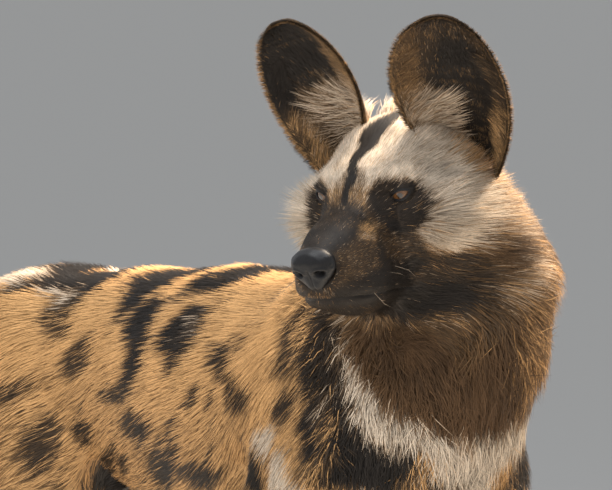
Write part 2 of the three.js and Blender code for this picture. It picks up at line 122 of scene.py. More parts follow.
# Lie of the coat: group, place, flow of the hair, hair length, hair width, depth of the coat, and how often
# hairs cover the skin. A row with an x that is not 0 is mirrored to the other side.
coatGuides = {
    "head": [
        ((0, -66, -17), (0, 1, 0.25), 3.6, 0.4, 0.6, 2.2),  # bridge of the muzzle
        ((20, -74, -40), (0.2, 1, 0), 3.4, 0.4, 0.6, 2.2),
        ((26, -42, -42), (0.15, 1, 0), 4.6, 0.42, 0.8, 2.4),  # side of the muzzle
        ((27, -44, -60), (0.1, 1, -0.2), 4.0, 0.42, 0.7, 2.4),  # upper lip
        ((10, -79, -64), (0.2, 0.6, -0.7), 5, 0.45, 0.9, 2.6),  # chin
        ((12, -32, -90), (0, 1, -0.1), 11, 0.6, 2.0, 3.2),  # under the jaw
        ((36, -8, -20), (0.45, 0.9, -0.15), 5.5, 0.45, 0.9, 2.8),  # below the eye
        ((24, -6, 12), (0.3, 0.6, 0.8), 6.5, 0.45, 1.2, 2.8),  # inner brow
        ((42, 6, 10), (0.6, 0.8, 0.35), 6.5, 0.45, 1.2, 2.8),  # outer brow
        ((0, 4, 22), (0.05, 0.6, 0.8), 10, 0.55, 1.8, 3.4),
        ((16, 30, 32), (0.25, 0.8, 0.5), 14, 0.6, 2.6, 3.6),  # forehead
        ((0, 72, 44), (0, 1, 0), 18, 0.7, 3.8, 3.8),  # crown
        ((46, 34, 18), (0.5, 0.8, 0.15), 15, 0.6, 3.0, 3.6),  # temple
        ((52, 84, 18), (0.35, 0.7, 0.4), 20, 0.7, 4.4, 3.8),  # front of the ear
        ((62, 16, -26), (0.45, 0.9, -0.15), 29, 0.6, 4.6, 4.4),  # cheek
        ((50, 8, -56), (0.2, 1, -0.2), 14, 0.6, 3.0, 3.4),
        ((76, 56, -28), (0.4, 0.9, -0.25), 32, 0.75, 10.0, 4.4),  # back of the cheek
        ((60, 50, -74), (0.25, 0.9, -0.4), 30, 0.75, 9.0, 4.2),
        ((30, 20, -98), (0.1, 1, -0.3), 20, 0.7, 5.0, 3.6),
        ((40, 118, 4), (0.2, 0.7, -0.5), 30, 0.85, 8.0, 3.8),  # back of the head
    ],
    "neck": [
        ((14, -262, 735), (0, 0.75, -0.6), 32, 0.78, 9.0, 4.8),  # nape
        ((78, -318, 700), (0.25, 0.45, -0.8), 36, 0.78, 11.0, 5.4),
        ((94, -350, 640), (0.15, 0.2, -0.95), 40, 0.78, 14.0, 5.6),  # side of the ruff
        ((-66, -290, 690), (-0.2, 0.5, -0.8), 30, 0.78, 9.0, 5.0),
        ((-74, -330, 640), (-0.2, 0.1, -0.95), 34, 0.78, 11.0, 5.4),
        ((0, -420, 645), (0, -0.25, -0.95), 40, 0.78, 15.0, 5.6),  # throat
        ((40, -412, 600), (0.15, -0.15, -1), 40, 0.78, 14.0, 5.6),
        ((-20, -400, 590), (-0.1, -0.15, -1), 38, 0.78, 12.0, 5.6),
        ((0, -386, 535), (0, 0, -1), 32, 0.78, 9.0, 5.2),  # breast
        ((44, -368, 520), (0.1, 0.1, -1), 28, 0.78, 8.0, 5.0),
        ((-44, -368, 520), (-0.1, 0.1, -1), 28, 0.78, 8.0, 5.0),
    ],
    "trunk": [
        ((0, -170, 695), (0, 1, -0.15), 24, 1.0, 8.0, 2.5),  # withers
        ((0, 60, 688), (0, 1, -0.05), 22, 1.1, 7.0, 2.5),
        ((0, 230, 675), (0, 1, -0.2), 22, 1.1, 7.0, 2.5),
        ((60, -60, 665), (0.1, 0.95, -0.3), 22, 1.1, 7.0, 2.5),
        ((94, -250, 600), (0, 0.5, -0.85), 19, 0.9, 6.5, 2.5),  # shoulder
        ((98, -240, 500), (0, 0.4, -0.9), 17, 0.9, 6.0, 2.5),
        ((98, -60, 560), (0, 0.9, -0.4), 21, 1.1, 7.5, 2.5),  # ribs
        ((88, 100, 590), (0, 0.85, -0.5), 21, 1.1, 7.5, 2.5),
        ((60, -40, 450), (0, 1, -0.1), 21, 1.1, 7.0, 2.3),
        ((0, -60, 425), (0, 1, 0), 21, 1.1, 6.5, 2.1),  # belly
        ((0, 130, 470), (0, 1, 0), 19, 1.1, 6.0, 2.1),
        ((0, -330, 440), (0, 0.6, -0.8), 22, 0.9, 7.0, 2.5),
        ((86, 250, 560), (0, 0.45, -0.9), 19, 1.0, 7.0, 2.5),  # thigh
        ((60, 310, 620), (0.1, 0.7, -0.7), 21, 1.0, 7.0, 2.5),
        ((46, 340, 540), (0.1, 0.3, -1), 22, 1.0, 8.0, 2.5),
    ],
    "legs": [
        ((64, -240, 400), (0, 0.3, -1), 15, 1.5, 4.0, 0.85),
        ((64, -262, 300), (0, 0.12, -1), 12, 1.4, 3.0, 0.85),
        ((64, -266, 200), (0, 0.08, -1), 10, 1.3, 2.4, 0.85),
        ((64, -272, 95), (0, -0.15, -1), 9, 1.2, 2.0, 0.85),
        ((64, -296, 26), (0, -0.95, -0.3), 6, 0.9, 1.0, 0.8),  # forepaw
        ((80, 230, 430), (0, 0.3, -1), 18, 1.5, 5.0, 0.9),
        ((70, 250, 330), (0, 0.3, -1), 14, 1.4, 3.5, 0.85),
        ((68, 300, 220), (0, 0.1, -1), 11, 1.3, 2.4, 0.85),
        ((68, 280, 110), (0, -0.1, -1), 9, 1.2, 2.0, 0.85),
        ((68, 236, 26), (0, -0.95, -0.3), 6, 0.9, 1.0, 0.8),  # hindpaw
    ],
    "tail": [
        ((0, 340, 606), (0, 0.8, -0.6), 26, 1.6, 7.0, 3.0),
        ((0, 385, 540), (0, 0.4, -0.9), 34, 1.6, 9.0, 3.6),
        ((0, 402, 470), (0, 0.1, -1), 44, 1.6, 12.0, 4.2),
        ((0, 405, 377), (0, 0, -1), 48, 1.6, 13.0, 4.4),
        ((0, 397, 290), (0, -0.05, -1), 50, 1.6, 11.0, 4.4),
    ],
}


def mirrored(place):
    return (-place[0], place[1], place[2])


guideRows = []
for group, rows in coatGuides.items():
    for place, flow, length, width, depth, cover in rows:
        twins = [(place, flow)]
        if group in ("head", "trunk", "legs") and place[0]:
            twins.append((mirrored(place), mirrored(flow)))
        for at, way in twins:
            if group == "head":
                at = headToFrame(at)
                way = headAxes @ np.array(way)
            else:
                at = np.array(at) + bodyOrigin
            guideRows.append((group, at, np.array(way, float), (length, width, depth, cover)))
guidePlaces = np.array([row[1] for row in guideRows])
guideFlows = unit(np.array([row[2] for row in guideRows]))
guideSizes = np.array([row[3] for row in guideRows], float)
guideGroups = np.array([row[0] for row in guideRows])


def coatAt(places):
    # flow of the hair, its sizes, and the group of the body at each place
    flows = np.zeros((len(places), 3))
    sizes = np.zeros((len(places), 4))
    nearest = np.zeros(len(places), int)
    for start in range(0, len(places), 20000):
        part = slice(start, start + 20000)
        gaps = np.linalg.norm(places[part, None] - guidePlaces[None], axis=2)
        weights = 1 / (gaps**2 + 15**2) ** 2
        nearest[part] = weights.argmax(1)
        weights /= weights.sum(1, keepdims=True)
        flows[part] = weights @ guideFlows
        sizes[part] = weights @ guideSizes
    return unit(flows), sizes, guideGroups[nearest]


# Markings, painted in order: colour, how strongly, place, half sizes. What the camera doesn't see comes from
# the loose blotches that the species has.
def bothSides(colour, amount, place, halfSizes):
    return [(colour, amount, place, halfSizes), (colour, amount, mirrored(place), halfSizes)]


headMarks = [
    *bothSides("brown", 0.35, (60, 30, -60), (40, 40, 36)),
    ("pale", 0.82, (0, 30, 24), (90, 56, 36)),
    ("pale", 0.85, (0, 98, 44), (50, 24, 24)),
    ("pale", 0.78, (66, 24, -20), (34, 44, 36)),
    *bothSides("tan", 0.4, (60, 76, 6), (24, 24, 30)),  # foot of the ear
    ("pale", 0.9, (-66, 22, -16), (34, 46, 36)),
    *bothSides("brown", 0.85, (80, 50, -75), (34, 46, 15)),  # streak from the cheek to the ruff
    *bothSides("dark", 0.88, (42, 2, -81), (50, 54, 29)),  # below the cheek
    ("dark", 0.6, (0, -30, -4), (17, 34, 30)),  # bridge
    *bothSides("dark", 0.62, (22, -38, -10), (12, 20, 18)),
    ("dark", 0.9, (0, -52, -16), (26, 34, 22)),
    ("dark", 0.88, (0, -76, -48), (50, 54, 41)),  # muzzle
    ("dark", 0.9, (0, -44, -70), (56, 50, 34)),
    *bothSides("dark", 0.9, (30, -24, -48), (25, 28, 28)),
    ("dark", 0.9, (22, 4, -92), (44, 44, 18)),
    *bothSides("tan", 0.4, (24, -43, -18), (4.5, 6, 7)),
    ("tan", 0.2, (0, -91, -58), (12, 9, 4)),  # lip below the nose
    ("dark", 0.97, (33.5, -8, -10), (27.5, 24, 23)),  # round the eyes
    ("dark", 0.97, (-32, -9, -10), (22.5, 24, 22)),
]
foreheadStripe = {
    "points": [
        (4, 136, -14), (2, 124, 24), (1, 100, 44), (0, 60, 46), (-3, 38, 40), (-4, 20, 33), (-4, 2, 24),
        (-1, -14, 13), (0, -28, 2),
    ],
    "halfWidths": [6, 7.5, 8.5, 10, 10.5, 9, 6, 4, 3.8],
}
bodyMarks = [
    ("dark", 1, (-68, -346, 575), (52, 52, 48)),  # black of the breast, right side
    ("tan", 0.9, (-86, -328, 582), (9, 9, 13)),
    ("tan", 0.8, (-96, -326, 552), (11, 11, 10)),
    ("tan", 0.8, (-96, -335, 527), (11, 11, 8)),
    ("pale", 0.95, (-69, -359, 522), (15, 15, 8)),
    ("dark", 0.95, (82, -348, 560), (40, 44, 46)),  # left side of the breast
    ("brown", 0.8, (62, -384, 560), (12, 20, 22)),
    ("pale", 0.9, (66, -380, 536), (8, 18, 20)),
    ("pale", 0.8, (92, -350, 520), (10, 14, 8)),
    ("pale", 1, (2, -392, 548), (30, 34, 40)),  # white below the ruff
    ("pale", 1, (6, -390, 520), (26, 34, 26)),
    ("dark", 1, (-60, -362, 550), (22, 16, 20)),
    ("dark", 1, (-32, -380, 533), (18, 16, 10)),
    ("pale", 1, (0, -390, 664), (134, 96, 110)),
    ("dark", 0.7, (74, -380, 590), (10, 26, 16)),
    ("brown", 1, (0, -390, 676), (120, 86, 97)),  # umber ruff
    ("tan", 0.3, (66, -410, 662), (36, 50, 58)),
    # painted shadow under the jaw: a dark band laid on the ruff where the jaw shades it
    ("dark", 0.65, (-40, -400, 676), (60, 60, 26)),
    ("dark", 0.95, (-83, -306, 644), (30, 28, 50)),  # beside the ruff, with streaks of painted highlight
    # painted highlight: half-pale streaks along the front edge of the shoulder, for the bluish light on that
    # edge
    ("pale", 0.5, (-80, -318, 636), (14, 4, 26)),
    ("pale", 0.5, (-88, -312, 600), (14, 4, 14)),
    ("dark", 1, (-50, 30, 676), (50, 30, 24)),  # blotches of the right side, from the back forward
    ("dark", 1, (-74, -8, 650), (40, 26, 27)),
    ("dark", 1, (-90, -24, 615), (34, 19, 26)),
    ("dark", 1, (-80, -88, 640), (36, 26, 22)),
    ("grey", 0.5, (-82, -94, 638), (30, 9, 8)),
    ("dark", 0.9, (-90, -148, 619), (36, 19, 12)),
    ("dark", 0.9, (-94, -175, 609), (36, 18, 9)),
    ("dark", 0.9, (-97, -201, 600), (36, 23, 11)),
    ("dark", 0.9, (-86, -268, 650), (30, 12, 44)),
    ("dark", 0.9, (-99, -276, 588), (36, 16, 13)),
    ("pale", 0.85, (-100, -250, 568), (36, 20, 12)),
    ("pale", 0.9, (-107, -281, 532), (36, 22, 20)),
    ("dark", 1, (-100, -222, 534), (36, 21, 22)),
    ("dark", 0.95, (-98, -134, 524), (36, 34, 17)),
    ("dark", 0.9, (-97, -72, 530), (36, 26, 15)),
    ("dark", 0.92, (-99, -36, 560), (36, 34, 15)),
    ("dark", 0.85, (-95, -10, 588), (36, 26, 11)),
    ("dark", 0.95, (-50, 165, 670), (52, 62, 14)),
    ("pale", 0.95, (-60, 226, 668), (30, 28, 8)),
    ("dark", 0.75, (-69, 130, 643), (36, 25, 22)),
    ("dark", 0.85, (-84, 81, 608), (36, 26, 16)),
    ("dark", 0.85, (-99, 160, 579), (36, 23, 11)),
    ("dark", 0.85, (-96, 123, 535), (36, 16, 28)),
]
colourNames = ["tan", "dark", "pale", "brown"]


def paintOver(weights, colour, amount):
    # a mark covers what is under it; grey is dark with pale hairs through it
    target = np.zeros(4)
    if colour == "grey":
        target[[1, 2]] = 0.5
    else:
        target[colourNames.index(colour)] = 1
    return weights * (1 - amount[:, None]) + target * amount[:, None]


def insideMark(places, middle, halfSizes, edge):
    reach = np.linalg.norm((places - np.array(middle, float)) / np.array(halfSizes, float), axis=1)
    size = np.mean(sorted(halfSizes)[:2])
    return 1 - smoothStep(1 - edge / size, 1 + edge / size, reach)


def stripeMask(places, stripe):
    points = np.array(stripe["points"], float)
    widths = np.array(stripe["halfWidths"], float)
    best = np.full(len(places), 9.0)
    for k in range(len(points) - 1):
        line = points[k + 1] - points[k]
        along = np.clip((places - points[k]) @ line / (line @ line), 0, 1)
        gap = np.linalg.norm((places - points[k] - along[:, None] * line) * (1, 1, 0.5), axis=1)
        best = np.minimum(best, gap / (widths[k] + (widths[k + 1] - widths[k]) * along))
    return 1 - smoothStep(0.8, 1.15, best)


pattern = {
    "bodyEdge": 7,  # how softly a mark of the body ends
    "headEdge": 3,
    "brownLow": 0.34,  # how brown the tan gets low on the flanks
    "brownHeights": (640, 520),
    "mottleLow": 0.8,  # small dark marks low on the side that the camera sees
    "mottleHeights": (650, 590),
    "mottleAll": 0.55,  # and the ones all over it
    "legHeights": (470, 330),  # the legs carry more white and black than the trunk
    "tailBlack": (548, 536),  # heights where the tail turns black and then white
    "tailWhite": (462, 446),
    "faceBack": (118, 96),
    "faceLow": (-112, -98),
}


def raggedBody(body):
    return body + 11 * noiseVectors(body, 34, 5) + 5.5 * noiseVectors(body, 10, 15)


def raggedHead(head):
    return head + 3.0 * noiseVectors(head, 17, 71) + 1.6 * noiseVectors(head, 5, 75)


def twoNoises(places, size, seed, fineSize, fineSeed):
    return softNoise(places, size, seed) + 0.5 * softNoise(places, fineSize, fineSeed)


def bodyWeights(body, warped):
    # loose blotches, where the camera doesn't see the coat, and then the marks of the side it sees
    x, y, z = warped.T
    height = body[:, 2]
    weights = np.zeros((len(body), 4))
    weights[:, 0] = 1
    brownLow = smoothStep(*pattern["brownHeights"], height)
    weights = paintOver(weights, "brown", pattern["brownLow"] * brownLow)
    aboveLegs = smoothStep(480, 505, z)
    rightSide = smoothStep(-40, -62, x) * smoothStep(255, 205, y) * aboveLegs
    seen = np.maximum(rightSide, smoothStep(-250, -300, y) * aboveLegs)
    low = smoothStep(*pattern["legHeights"], height)
    blotch = twoNoises(warped, 74, 31, 31, 37)
    patch = twoNoises(warped, 82, 43, 27, 47)
    weights = paintOver(weights, "dark", (1 - seen) * smoothStep(0.08, 0.2, blotch + 0.1 * low))
    weights = paintOver(weights, "pale", (1 - seen) * smoothStep(0.34 - 0.3 * low, 0.46 - 0.3 * low, patch))
    streaks = (warped + (0, 0.35, 0) * warped[:, 2:3]) * (1, 1, 0.55)
    small = twoNoises(streaks, 19, 53, 8, 59)
    lowFlank = smoothStep(*pattern["mottleHeights"], height)
    weights = paintOver(weights, "dark", pattern["mottleLow"] * seen * smoothStep(0.4, 0.66, small) * lowFlank)
    weights = paintOver(weights, "dark", pattern["mottleAll"] * seen * smoothStep(0.5, 0.8, small))
    for colour, amount, middle, halfSizes in bodyMarks:
        inside = insideMark(warped, middle, halfSizes, pattern["bodyEdge"])
        weights = paintOver(weights, colour, amount * inside)
    return weights


def markings(places, group):
    # how much of each colour the coat has at each place of the frame
    body = places - bodyOrigin
    warped = raggedBody(body)
    weights = bodyWeights(body, warped)
    height = warped[:, 2]
    onTail = group == "tail"
    weights = paintOver(weights, "tan", onTail * smoothStep(560, 572, height))
    weights = paintOver(weights, "dark", onTail * smoothStep(*pattern["tailBlack"], height))
    weights = paintOver(weights, "pale", onTail * smoothStep(*pattern["tailWhite"], height))
    head = frameToHead(places)
    warpedHead = raggedHead(head)
    onHead = group == "head"
    face = onHead * smoothStep(*pattern["faceBack"], head[:, 1]) * smoothStep(*pattern["faceLow"], head[:, 2])
    for colour, amount in (("brown", 1), ("pale", 0.34), ("tan", 0.2)):
        weights = paintOver(weights, colour, amount * face)
    for colour, amount, middle, halfSizes in headMarks:
        inside = insideMark(warpedHead, middle, halfSizes, pattern["headEdge"])
        weights = paintOver(weights, colour, face * amount * inside)
    return paintOver(weights, "dark", onHead * stripeMask(warpedHead, foreheadStripe))


print("coat guides and markings ready")

# Ears: a leaf that curls round its long axis, worked out in the head
ear = {
    "base": (51, 80, -2),
    "tip": (73, 42, 132.5),
    "halfWidth": 44.5,
    "widest": 0.55,
    "baseWidth": 0.4,
    "cup": (38, 14),  # depth of the curl at the base and at the tip
    "curl": (125, 44),
    "thickness": 1.7,
    "columns": 44,
    "rows": 60,
    "poses": {1: {"facing": 20, "drop": 22}, -1: {"facing": 5, "drop": 18}},
    "hollow": {1: (0.2, 0.5, 0.6, 0.4), -1: (0.3, 0.72, 0.9, 0.36)},  # across, up and half sizes of the black
    "tuftPlace": {1: (0.14, 0.42, -0.85, -0.25), -1: (0.16, 0.46, -0.6, 0.25)},  # up and across
    "patch": {1: (0.5, 0.24, 0.45), -1: (0.95, 0.28, 0.5)},  # half sizes and strength of the pale foot
    "deepest": 0.03,  # share of the length where the leaf starts inside the head
}


def earPoints(side, up, across, lift):
    # places on the leaf in the frame: up from base to tip, across from the inner edge (-1) to the outer (1)
    tilt = ear["poses"][side]
    base = np.array(ear["base"], float)
    axis = np.array(ear["tip"], float) - base
    facing = math.radians(tilt["facing"])
    opening = np.array([math.sin(facing), -math.cos(facing), 0])
    opening = opening - axis * (opening @ axis) / (axis @ axis)
    opening /= np.linalg.norm(opening)
    outward = np.cross(axis, opening)
    outward /= np.linalg.norm(outward)
    above = (up - ear["widest"]) / (1 - ear["widest"])
    rounded = np.sqrt(np.clip(1 - np.maximum(above, 0) ** 2, 0, 1))
    grown = ear["baseWidth"] + (1 - ear["baseWidth"]) * np.sin(np.pi / 2 * np.clip(up / ear["widest"], 0, 1))
    half = ear["halfWidth"] * np.where(above > 0, rounded, grown)
    opened = 1 - (1 - np.minimum(1, up / 0.8)) ** 2
    curl = np.radians(ear["curl"][0] + (ear["curl"][1] - ear["curl"][0]) * opened)
    rounding = np.where(above > 0, half / ear["halfWidth"], 1)
    cup = (ear["cup"][0] + (ear["cup"][1] - ear["cup"][0]) * opened) * rounding
    width = half / np.sin(np.minimum(curl, np.pi / 2))
    depth = cup / (1 - np.cos(curl))
    turn = across * curl
    along = np.stack([width * np.cos(turn), depth * np.sin(turn)], axis=1)
    along = unit(along)
    lowered = tilt["drop"] / np.linalg.norm(axis) * (1 - up * up) * (0.35 + 0.65 * across)
    places = base + axis * (up - lowered)[:, None]
    places = places + outward * (width * np.sin(turn) - lift * along[:, 1])[:, None]
    places = places + opening * (depth * (1 - np.cos(turn)) - 0.6 * cup + lift * along[:, 0])[:, None]
    places[:, 0] *= side
    return headToFrame(places)


def earMarkings(side, up, across, inner):
    # grizzled, with a black hollow, a lighter inner margin and pale hairs at its foot
    weights = np.tile([0.01, 0.9, 0.01, 0.08], (len(up), 1))
    grain = np.stack([up * 9, across * 5, inner * 3.0], axis=1)
    up = up + 0.05 * softNoise(grain, 1.0, 83) + 0.025 * softNoise(grain, 0.35, 89)
    across = across + 0.09 * softNoise(grain, 0.9, 97) + 0.05 * softNoise(grain, 0.35, 91)
    hollow = ear["hollow"][side]
    depth = np.hypot((across - hollow[0]) / hollow[2], (up - hollow[1]) / hollow[3])
    innerEdge = smoothStep(-0.45, -0.8, across) * smoothStep(0.9, 0.6, up)
    outerEdge = smoothStep(0.55, 0.8, across) * smoothStep(0.55, 0.3, up)
    weights = paintOver(weights, "tan", 0.24 * inner * innerEdge)
    weights = paintOver(weights, "brown", 0.25 * inner * smoothStep(-0.4, -0.7, across))
    weights = paintOver(weights, "tan", 0.35 * inner * outerEdge)
    weights = paintOver(weights, "dark", 0.93 * inner * smoothStep(1.15, 0.75, depth))
    low, high, near, far = ear["tuftPlace"][side]
    patch = ear["patch"][side]
    foot = np.hypot((across - (near + far) / 2) / patch[0], (up - (low + high) / 2) / patch[1])
    weights = paintOver(weights, "pale", patch[2] * inner * smoothStep(1.15, 0.7, foot))
    canal = np.hypot((across - 0.35) / 0.3, (up - 0.1) / 0.3)
    weights = paintOver(weights, "dark", 0.95 * inner * smoothStep(1.15, 0.8, canal))
    back = 1 - inner
    weights = paintOver(weights, "tan", back * 0.7 * smoothStep(0.34, 0.12, up))
    weights = paintOver(weights, "brown", back * 0.4 * smoothStep(0.0, 0.7, softNoise(grain, 0.25, 93)))
    rim = np.maximum(abs(across), up)
    return paintOver(weights, "dark", smoothStep(0.9, 0.97, rim) * 0.7)


def leafMesh(side):
    # a grid laid on the leaf, then thickened
    leaf = bmesh.new()
    bmesh.ops.create_grid(leaf, x_segments=ear["columns"], y_segments=ear["rows"], size=1)
    flat = np.array([v.co for v in leaf.verts])
    across = flat[:, 0]
    up = ear["deepest"] + (0.99 - ear["deepest"]) * np.sin((flat[:, 1] + 1) / 2 * np.pi / 2) ** 0.9
    up[flat[:, 1] < -0.9999] = ear["deepest"]
    for vertex, place in zip(leaf.verts, earPoints(side, up, across, np.zeros(len(up)))):
        vertex.co = place * mm
    if side < 0:
        bmesh.ops.reverse_faces(leaf, faces=leaf.faces)
    leaf.normal_update()
    bmesh.ops.solidify(leaf, geom=leaf.faces, thickness=ear["thickness"] * mm)
    bmesh.ops.recalc_face_normals(leaf, faces=leaf.faces)
    return leaf


# Skin: the solids of the flesh joined, made one closed surface, smoothed, and sunk by the depth of the coat
skinSize = {
    "voxel": 6.3,
    "joinBy": 0.45,  # how far each solid grows before they are joined, so that the cuts between them close
    "smoothing": 9,
    "headSmoothing": 4,
    "lidSmoothing": 3,
}
boneless = ["nose", "eye_left", "eye_right"]
earNodes = ["ear_left", "ear_right"]
fleshNodes = [name for name in nodes if name not in boneless + earNodes]


def newObject(name, shape):
    mesh = bpy.data.meshes.new(name)
    shape.to_mesh(mesh)
    shape.free()
    made = bpy.data.objects.new(name, mesh)
    bpy.context.scene.collection.objects.link(made)
    return made


def appliedMesh(made):
    # the object's mesh with its modifiers made real
    depsgraph = bpy.context.evaluated_depsgraph_get()
    finished = bpy.data.meshes.new_from_object(made.evaluated_get(depsgraph))
    made.modifiers.clear()
    made.data = finished
    return made


def remeshed(made, voxel):
    remesh = made.modifiers.new("even faces", "REMESH")
    remesh.mode = "VOXEL"
    remesh.voxel_size = voxel * mm
    remesh.use_smooth_shade = True
    return appliedMesh(made)


def grownCopy(names, growth):
    shape = bmesh.new()
    for name in names:
        shape.from_mesh(nodes[name].data)
    bmesh.ops.remove_doubles(shape, verts=shape.verts, dist=1e-5)
    shape.normal_update()
    for vertex in shape.verts:
        vertex.co += vertex.normal * growth * mm
    return shape


def vertexPlaces(shape):
    return np.array([v.co for v in shape.verts]) / mm


def placeVertices(shape, places):
    for vertex, place in zip(shape.verts, places * mm):
        vertex.co = place
    shape.normal_update()


def edgesWhere(shape, inside):
    return [e for e in shape.edges if inside[e.verts[0].index] and inside[e.verts[1].index]]


def smoothed(shape, verts, times):
    for step in range(times):
        bmesh.ops.smooth_vert(
            shape, verts=verts, factor=0.5, use_axis_x=True, use_axis_y=True, use_axis_z=True
        )


def refine(shape, inside):
    shape.verts.index_update()
    bmesh.ops.subdivide_edges(shape, edges=edgesWhere(shape, inside), cuts=1, use_grid_fill=True)
    shape.verts.index_update()


# Eyes and lids, in the head, for the left side
eye = {
    "gaze": (0.37, -0.93, -0.06),
    "halfWidth": 8.2,
    "upperHeight": 4.1,
    "lowerHeight": 3.6,
    "slant": 14,  # degrees that the outer corner is higher
    "lidRadius": 12.1,
    "hiddenRadius": 9.0,  # of the skin behind the eyeball's face
    "lidReach": 9.0,  # over how far the lids turn into the face
    "rim": 0.95,
}


def eyeAxes(side):
    gaze = np.array(eye["gaze"], float)
    gaze /= np.linalg.norm(gaze)
    outward = np.cross((0, 0, 1), gaze)
    outward /= np.linalg.norm(outward)
    if outward[0] < 0:
        outward = -outward
    upward = np.cross(gaze, outward)
    upward *= np.sign(upward[2])
    slant = math.radians(eye["slant"])
    across = outward * math.cos(slant) + upward * math.sin(slant)
    upright = upward * math.cos(slant) - outward * math.sin(slant)
    flip = np.array([side, 1, 1])
    return gaze * flip, across * flip, upright * flip


def eyeMiddle(side):
    return np.array(pose["eyePlace"]) * (side, 1, 1)


def almond(across, upright):
    # 1 on the edge of the lids, less inside the opening
    height = np.where(upright > 0, eye["upperHeight"], eye["lowerHeight"])
    sideways = (across / eye["halfWidth"]) ** 2
    return np.sqrt(sideways + (upright / height * (1 + 0.35 * sideways)) ** 2)


def eyeView(places, side):
    # each head place as distance from the eyeball's middle, the turned places on it, and the almond value
    gaze, across, upright = eyeAxes(side)
    offset = places - eyeMiddle(side)
    reach = np.linalg.norm(offset, axis=1)
    ways = offset / np.maximum(reach, 1e-6)[:, None]
    turnAway = np.arccos(np.clip(ways @ gaze, -1, 1))
    sideways = np.stack([ways @ across, ways @ upright], axis=1)
    arc = unit(sideways) * (turnAway * pose["eyeRadius"])[:, None]
    return reach, ways, arc, almond(arc[:, 0], arc[:, 1])


def shapeLids(places):
    for side in (1, -1):
        reach, ways, arc, edge = eyeView(places, side)
        fromRim = np.maximum(0, (edge - 1)) * (eye["upperHeight"] + 1.5)
        near = (1 - smoothStep(2.0, eye["lidReach"], fromRim)) * (reach < 30)
        crease = 1.1 * np.exp(-(((fromRim - 5.2) / 1.3) ** 2)) * (arc[:, 1] > 0)
        brow = 0.7 * (arc[:, 1] > 0) * smoothStep(0, 4, fromRim)
        lid = eye["lidRadius"] + 0.5 * smoothStep(0, 3, fromRim) + brow
        target = np.where(edge < 1, eye["hiddenRadius"], lid - crease)
        shaped = reach + (target - reach) * near
        over = (edge >= 1) & (reach < 16) & (np.linalg.norm(arc, axis=1) < 17)
        shaped = np.where(over, np.maximum(shaped, eye["lidRadius"] - 0.3), shaped)
        moved = eyeMiddle(side) + ways * shaped[:, None]
        places = np.where(((near > 0) | over)[:, None], moved, places)
    return places


# Mouth: a groove along the slit between the lips, in the head
mouth = {
    "corner": (0, -79),  # y and z of the corner
    "rise": math.tan(math.radians(13)),  # the slit rises forward
    "front": -95,
    "depth": 1.5,
    "halfWidth": 1.2,
}


def mouthGap(places):
    # height above the slit, and how much of the mouth is there
    slit = mouth["corner"][1] + (mouth["corner"][0] - places[:, 1]) * mouth["rise"]
    present = smoothStep(mouth["corner"][0] + 2, mouth["corner"][0] - 4, places[:, 1])
    return places[:, 2] - slit, present


def shapeMouth(places, normals):
    gap, present = mouthGap(places)
    groove = np.exp(-((gap / mouth["halfWidth"]) ** 2))
    lip = 0.4 * np.exp(-(((gap - 4) / 3) ** 2)) + 0.3 * np.exp(-(((gap + 4) / 3) ** 2))
    outside = smoothStep(0.2, 0.6, np.linalg.norm(normals * (1, 1, 0), axis=1))
    return places + normals * ((lip - mouth["depth"] * groove) * present * outside)[:, None]


# Paws: four toes each, with grooves between them
paw = {
    "foot": {"fore": (64.0, -266.0), "hind": (68.0, 262.0)},  # x and y of each paw under a level stance
    "step": {("fore", 1): -16, ("fore", -1): 12, ("hind", 1): 24, ("hind", -1): -18},
    "toeSpacing": 12.75,
    "grooveDepth": 3.6,
    "grooveHalfWidth": 2.5,
    "grooveTop": 32,
}


def toeGrooves(places):
    body = places - bodyOrigin
    depth = np.zeros(len(body))
    for (pair, side), step in paw["step"].items():
        footX, footY = paw["foot"][pair]
        sideways = body[:, 0] - side * footX
        front = smoothStep(2, -16, body[:, 1] - footY - step) * (abs(body[:, 1] - footY - step) < 60)
        height = body[:, 2] - 6 * (1 - abs(sideways) / 25)
        low = smoothStep(paw["grooveTop"] + 6, paw["grooveTop"] - 8, height)
        for k in (-1, 0, 1):
            gap = (sideways - k * paw["toeSpacing"]) / paw["grooveHalfWidth"]
            depth = np.maximum(depth, paw["grooveDepth"] * np.exp(-(gap**2)) * front * low)
    return depth


fineZone = {  # where the skin gets smaller faces: the face and paws, then lids, mouth and toes
    "faceBack": 80,
    "faceLow": -116,
    "faceSide": 96,
    "pawTop": 56,
    "lidReach": {2: 21, 3: 14.5},  # for each level
    "lidBack": 30,
    "lidLow": -30,
    "lipReach": 8,
    "lipFront": -100,
    "lipBack": 6,
}


def headZone(places, level):
    head = frameToHead(places)
    if level == 1:
        onHead = (head[:, 1] < fineZone["faceBack"]) & (head[:, 2] > fineZone["faceLow"])
        return (onHead & (abs(head[:, 0]) < fineZone["faceSide"])) | (places[:, 2] < fineZone["pawTop"])
    nearEye = np.zeros(len(places), bool)
    for side in (1, -1):
        arc = eyeView(head, side)[2]
        nearEye |= np.linalg.norm(arc, axis=1) < fineZone["lidReach"][level]
    nearEye &= (head[:, 1] < fineZone["lidBack"]) & (head[:, 2] > fineZone["lidLow"])
    if level == 3:
        return nearEye
    alongLips = (head[:, 1] < fineZone["lipBack"]) & (head[:, 1] > fineZone["lipFront"])
    nearMouth = (abs(mouthGap(head)[0]) < fineZone["lipReach"]) & alongLips
    onToes = (places[:, 2] > 2) & (toeGrooves(places) > 0.15)
    return nearEye | nearMouth | onToes


roundNose = {
    "hollow": ((0, -93, -33), (18, 15, 14), 3),  # the skin gives way to the nose pad here
    "hollowDepth": 9,
    "darkSkin": ((0, -90, -34), (25, 18, 22), 5),
}

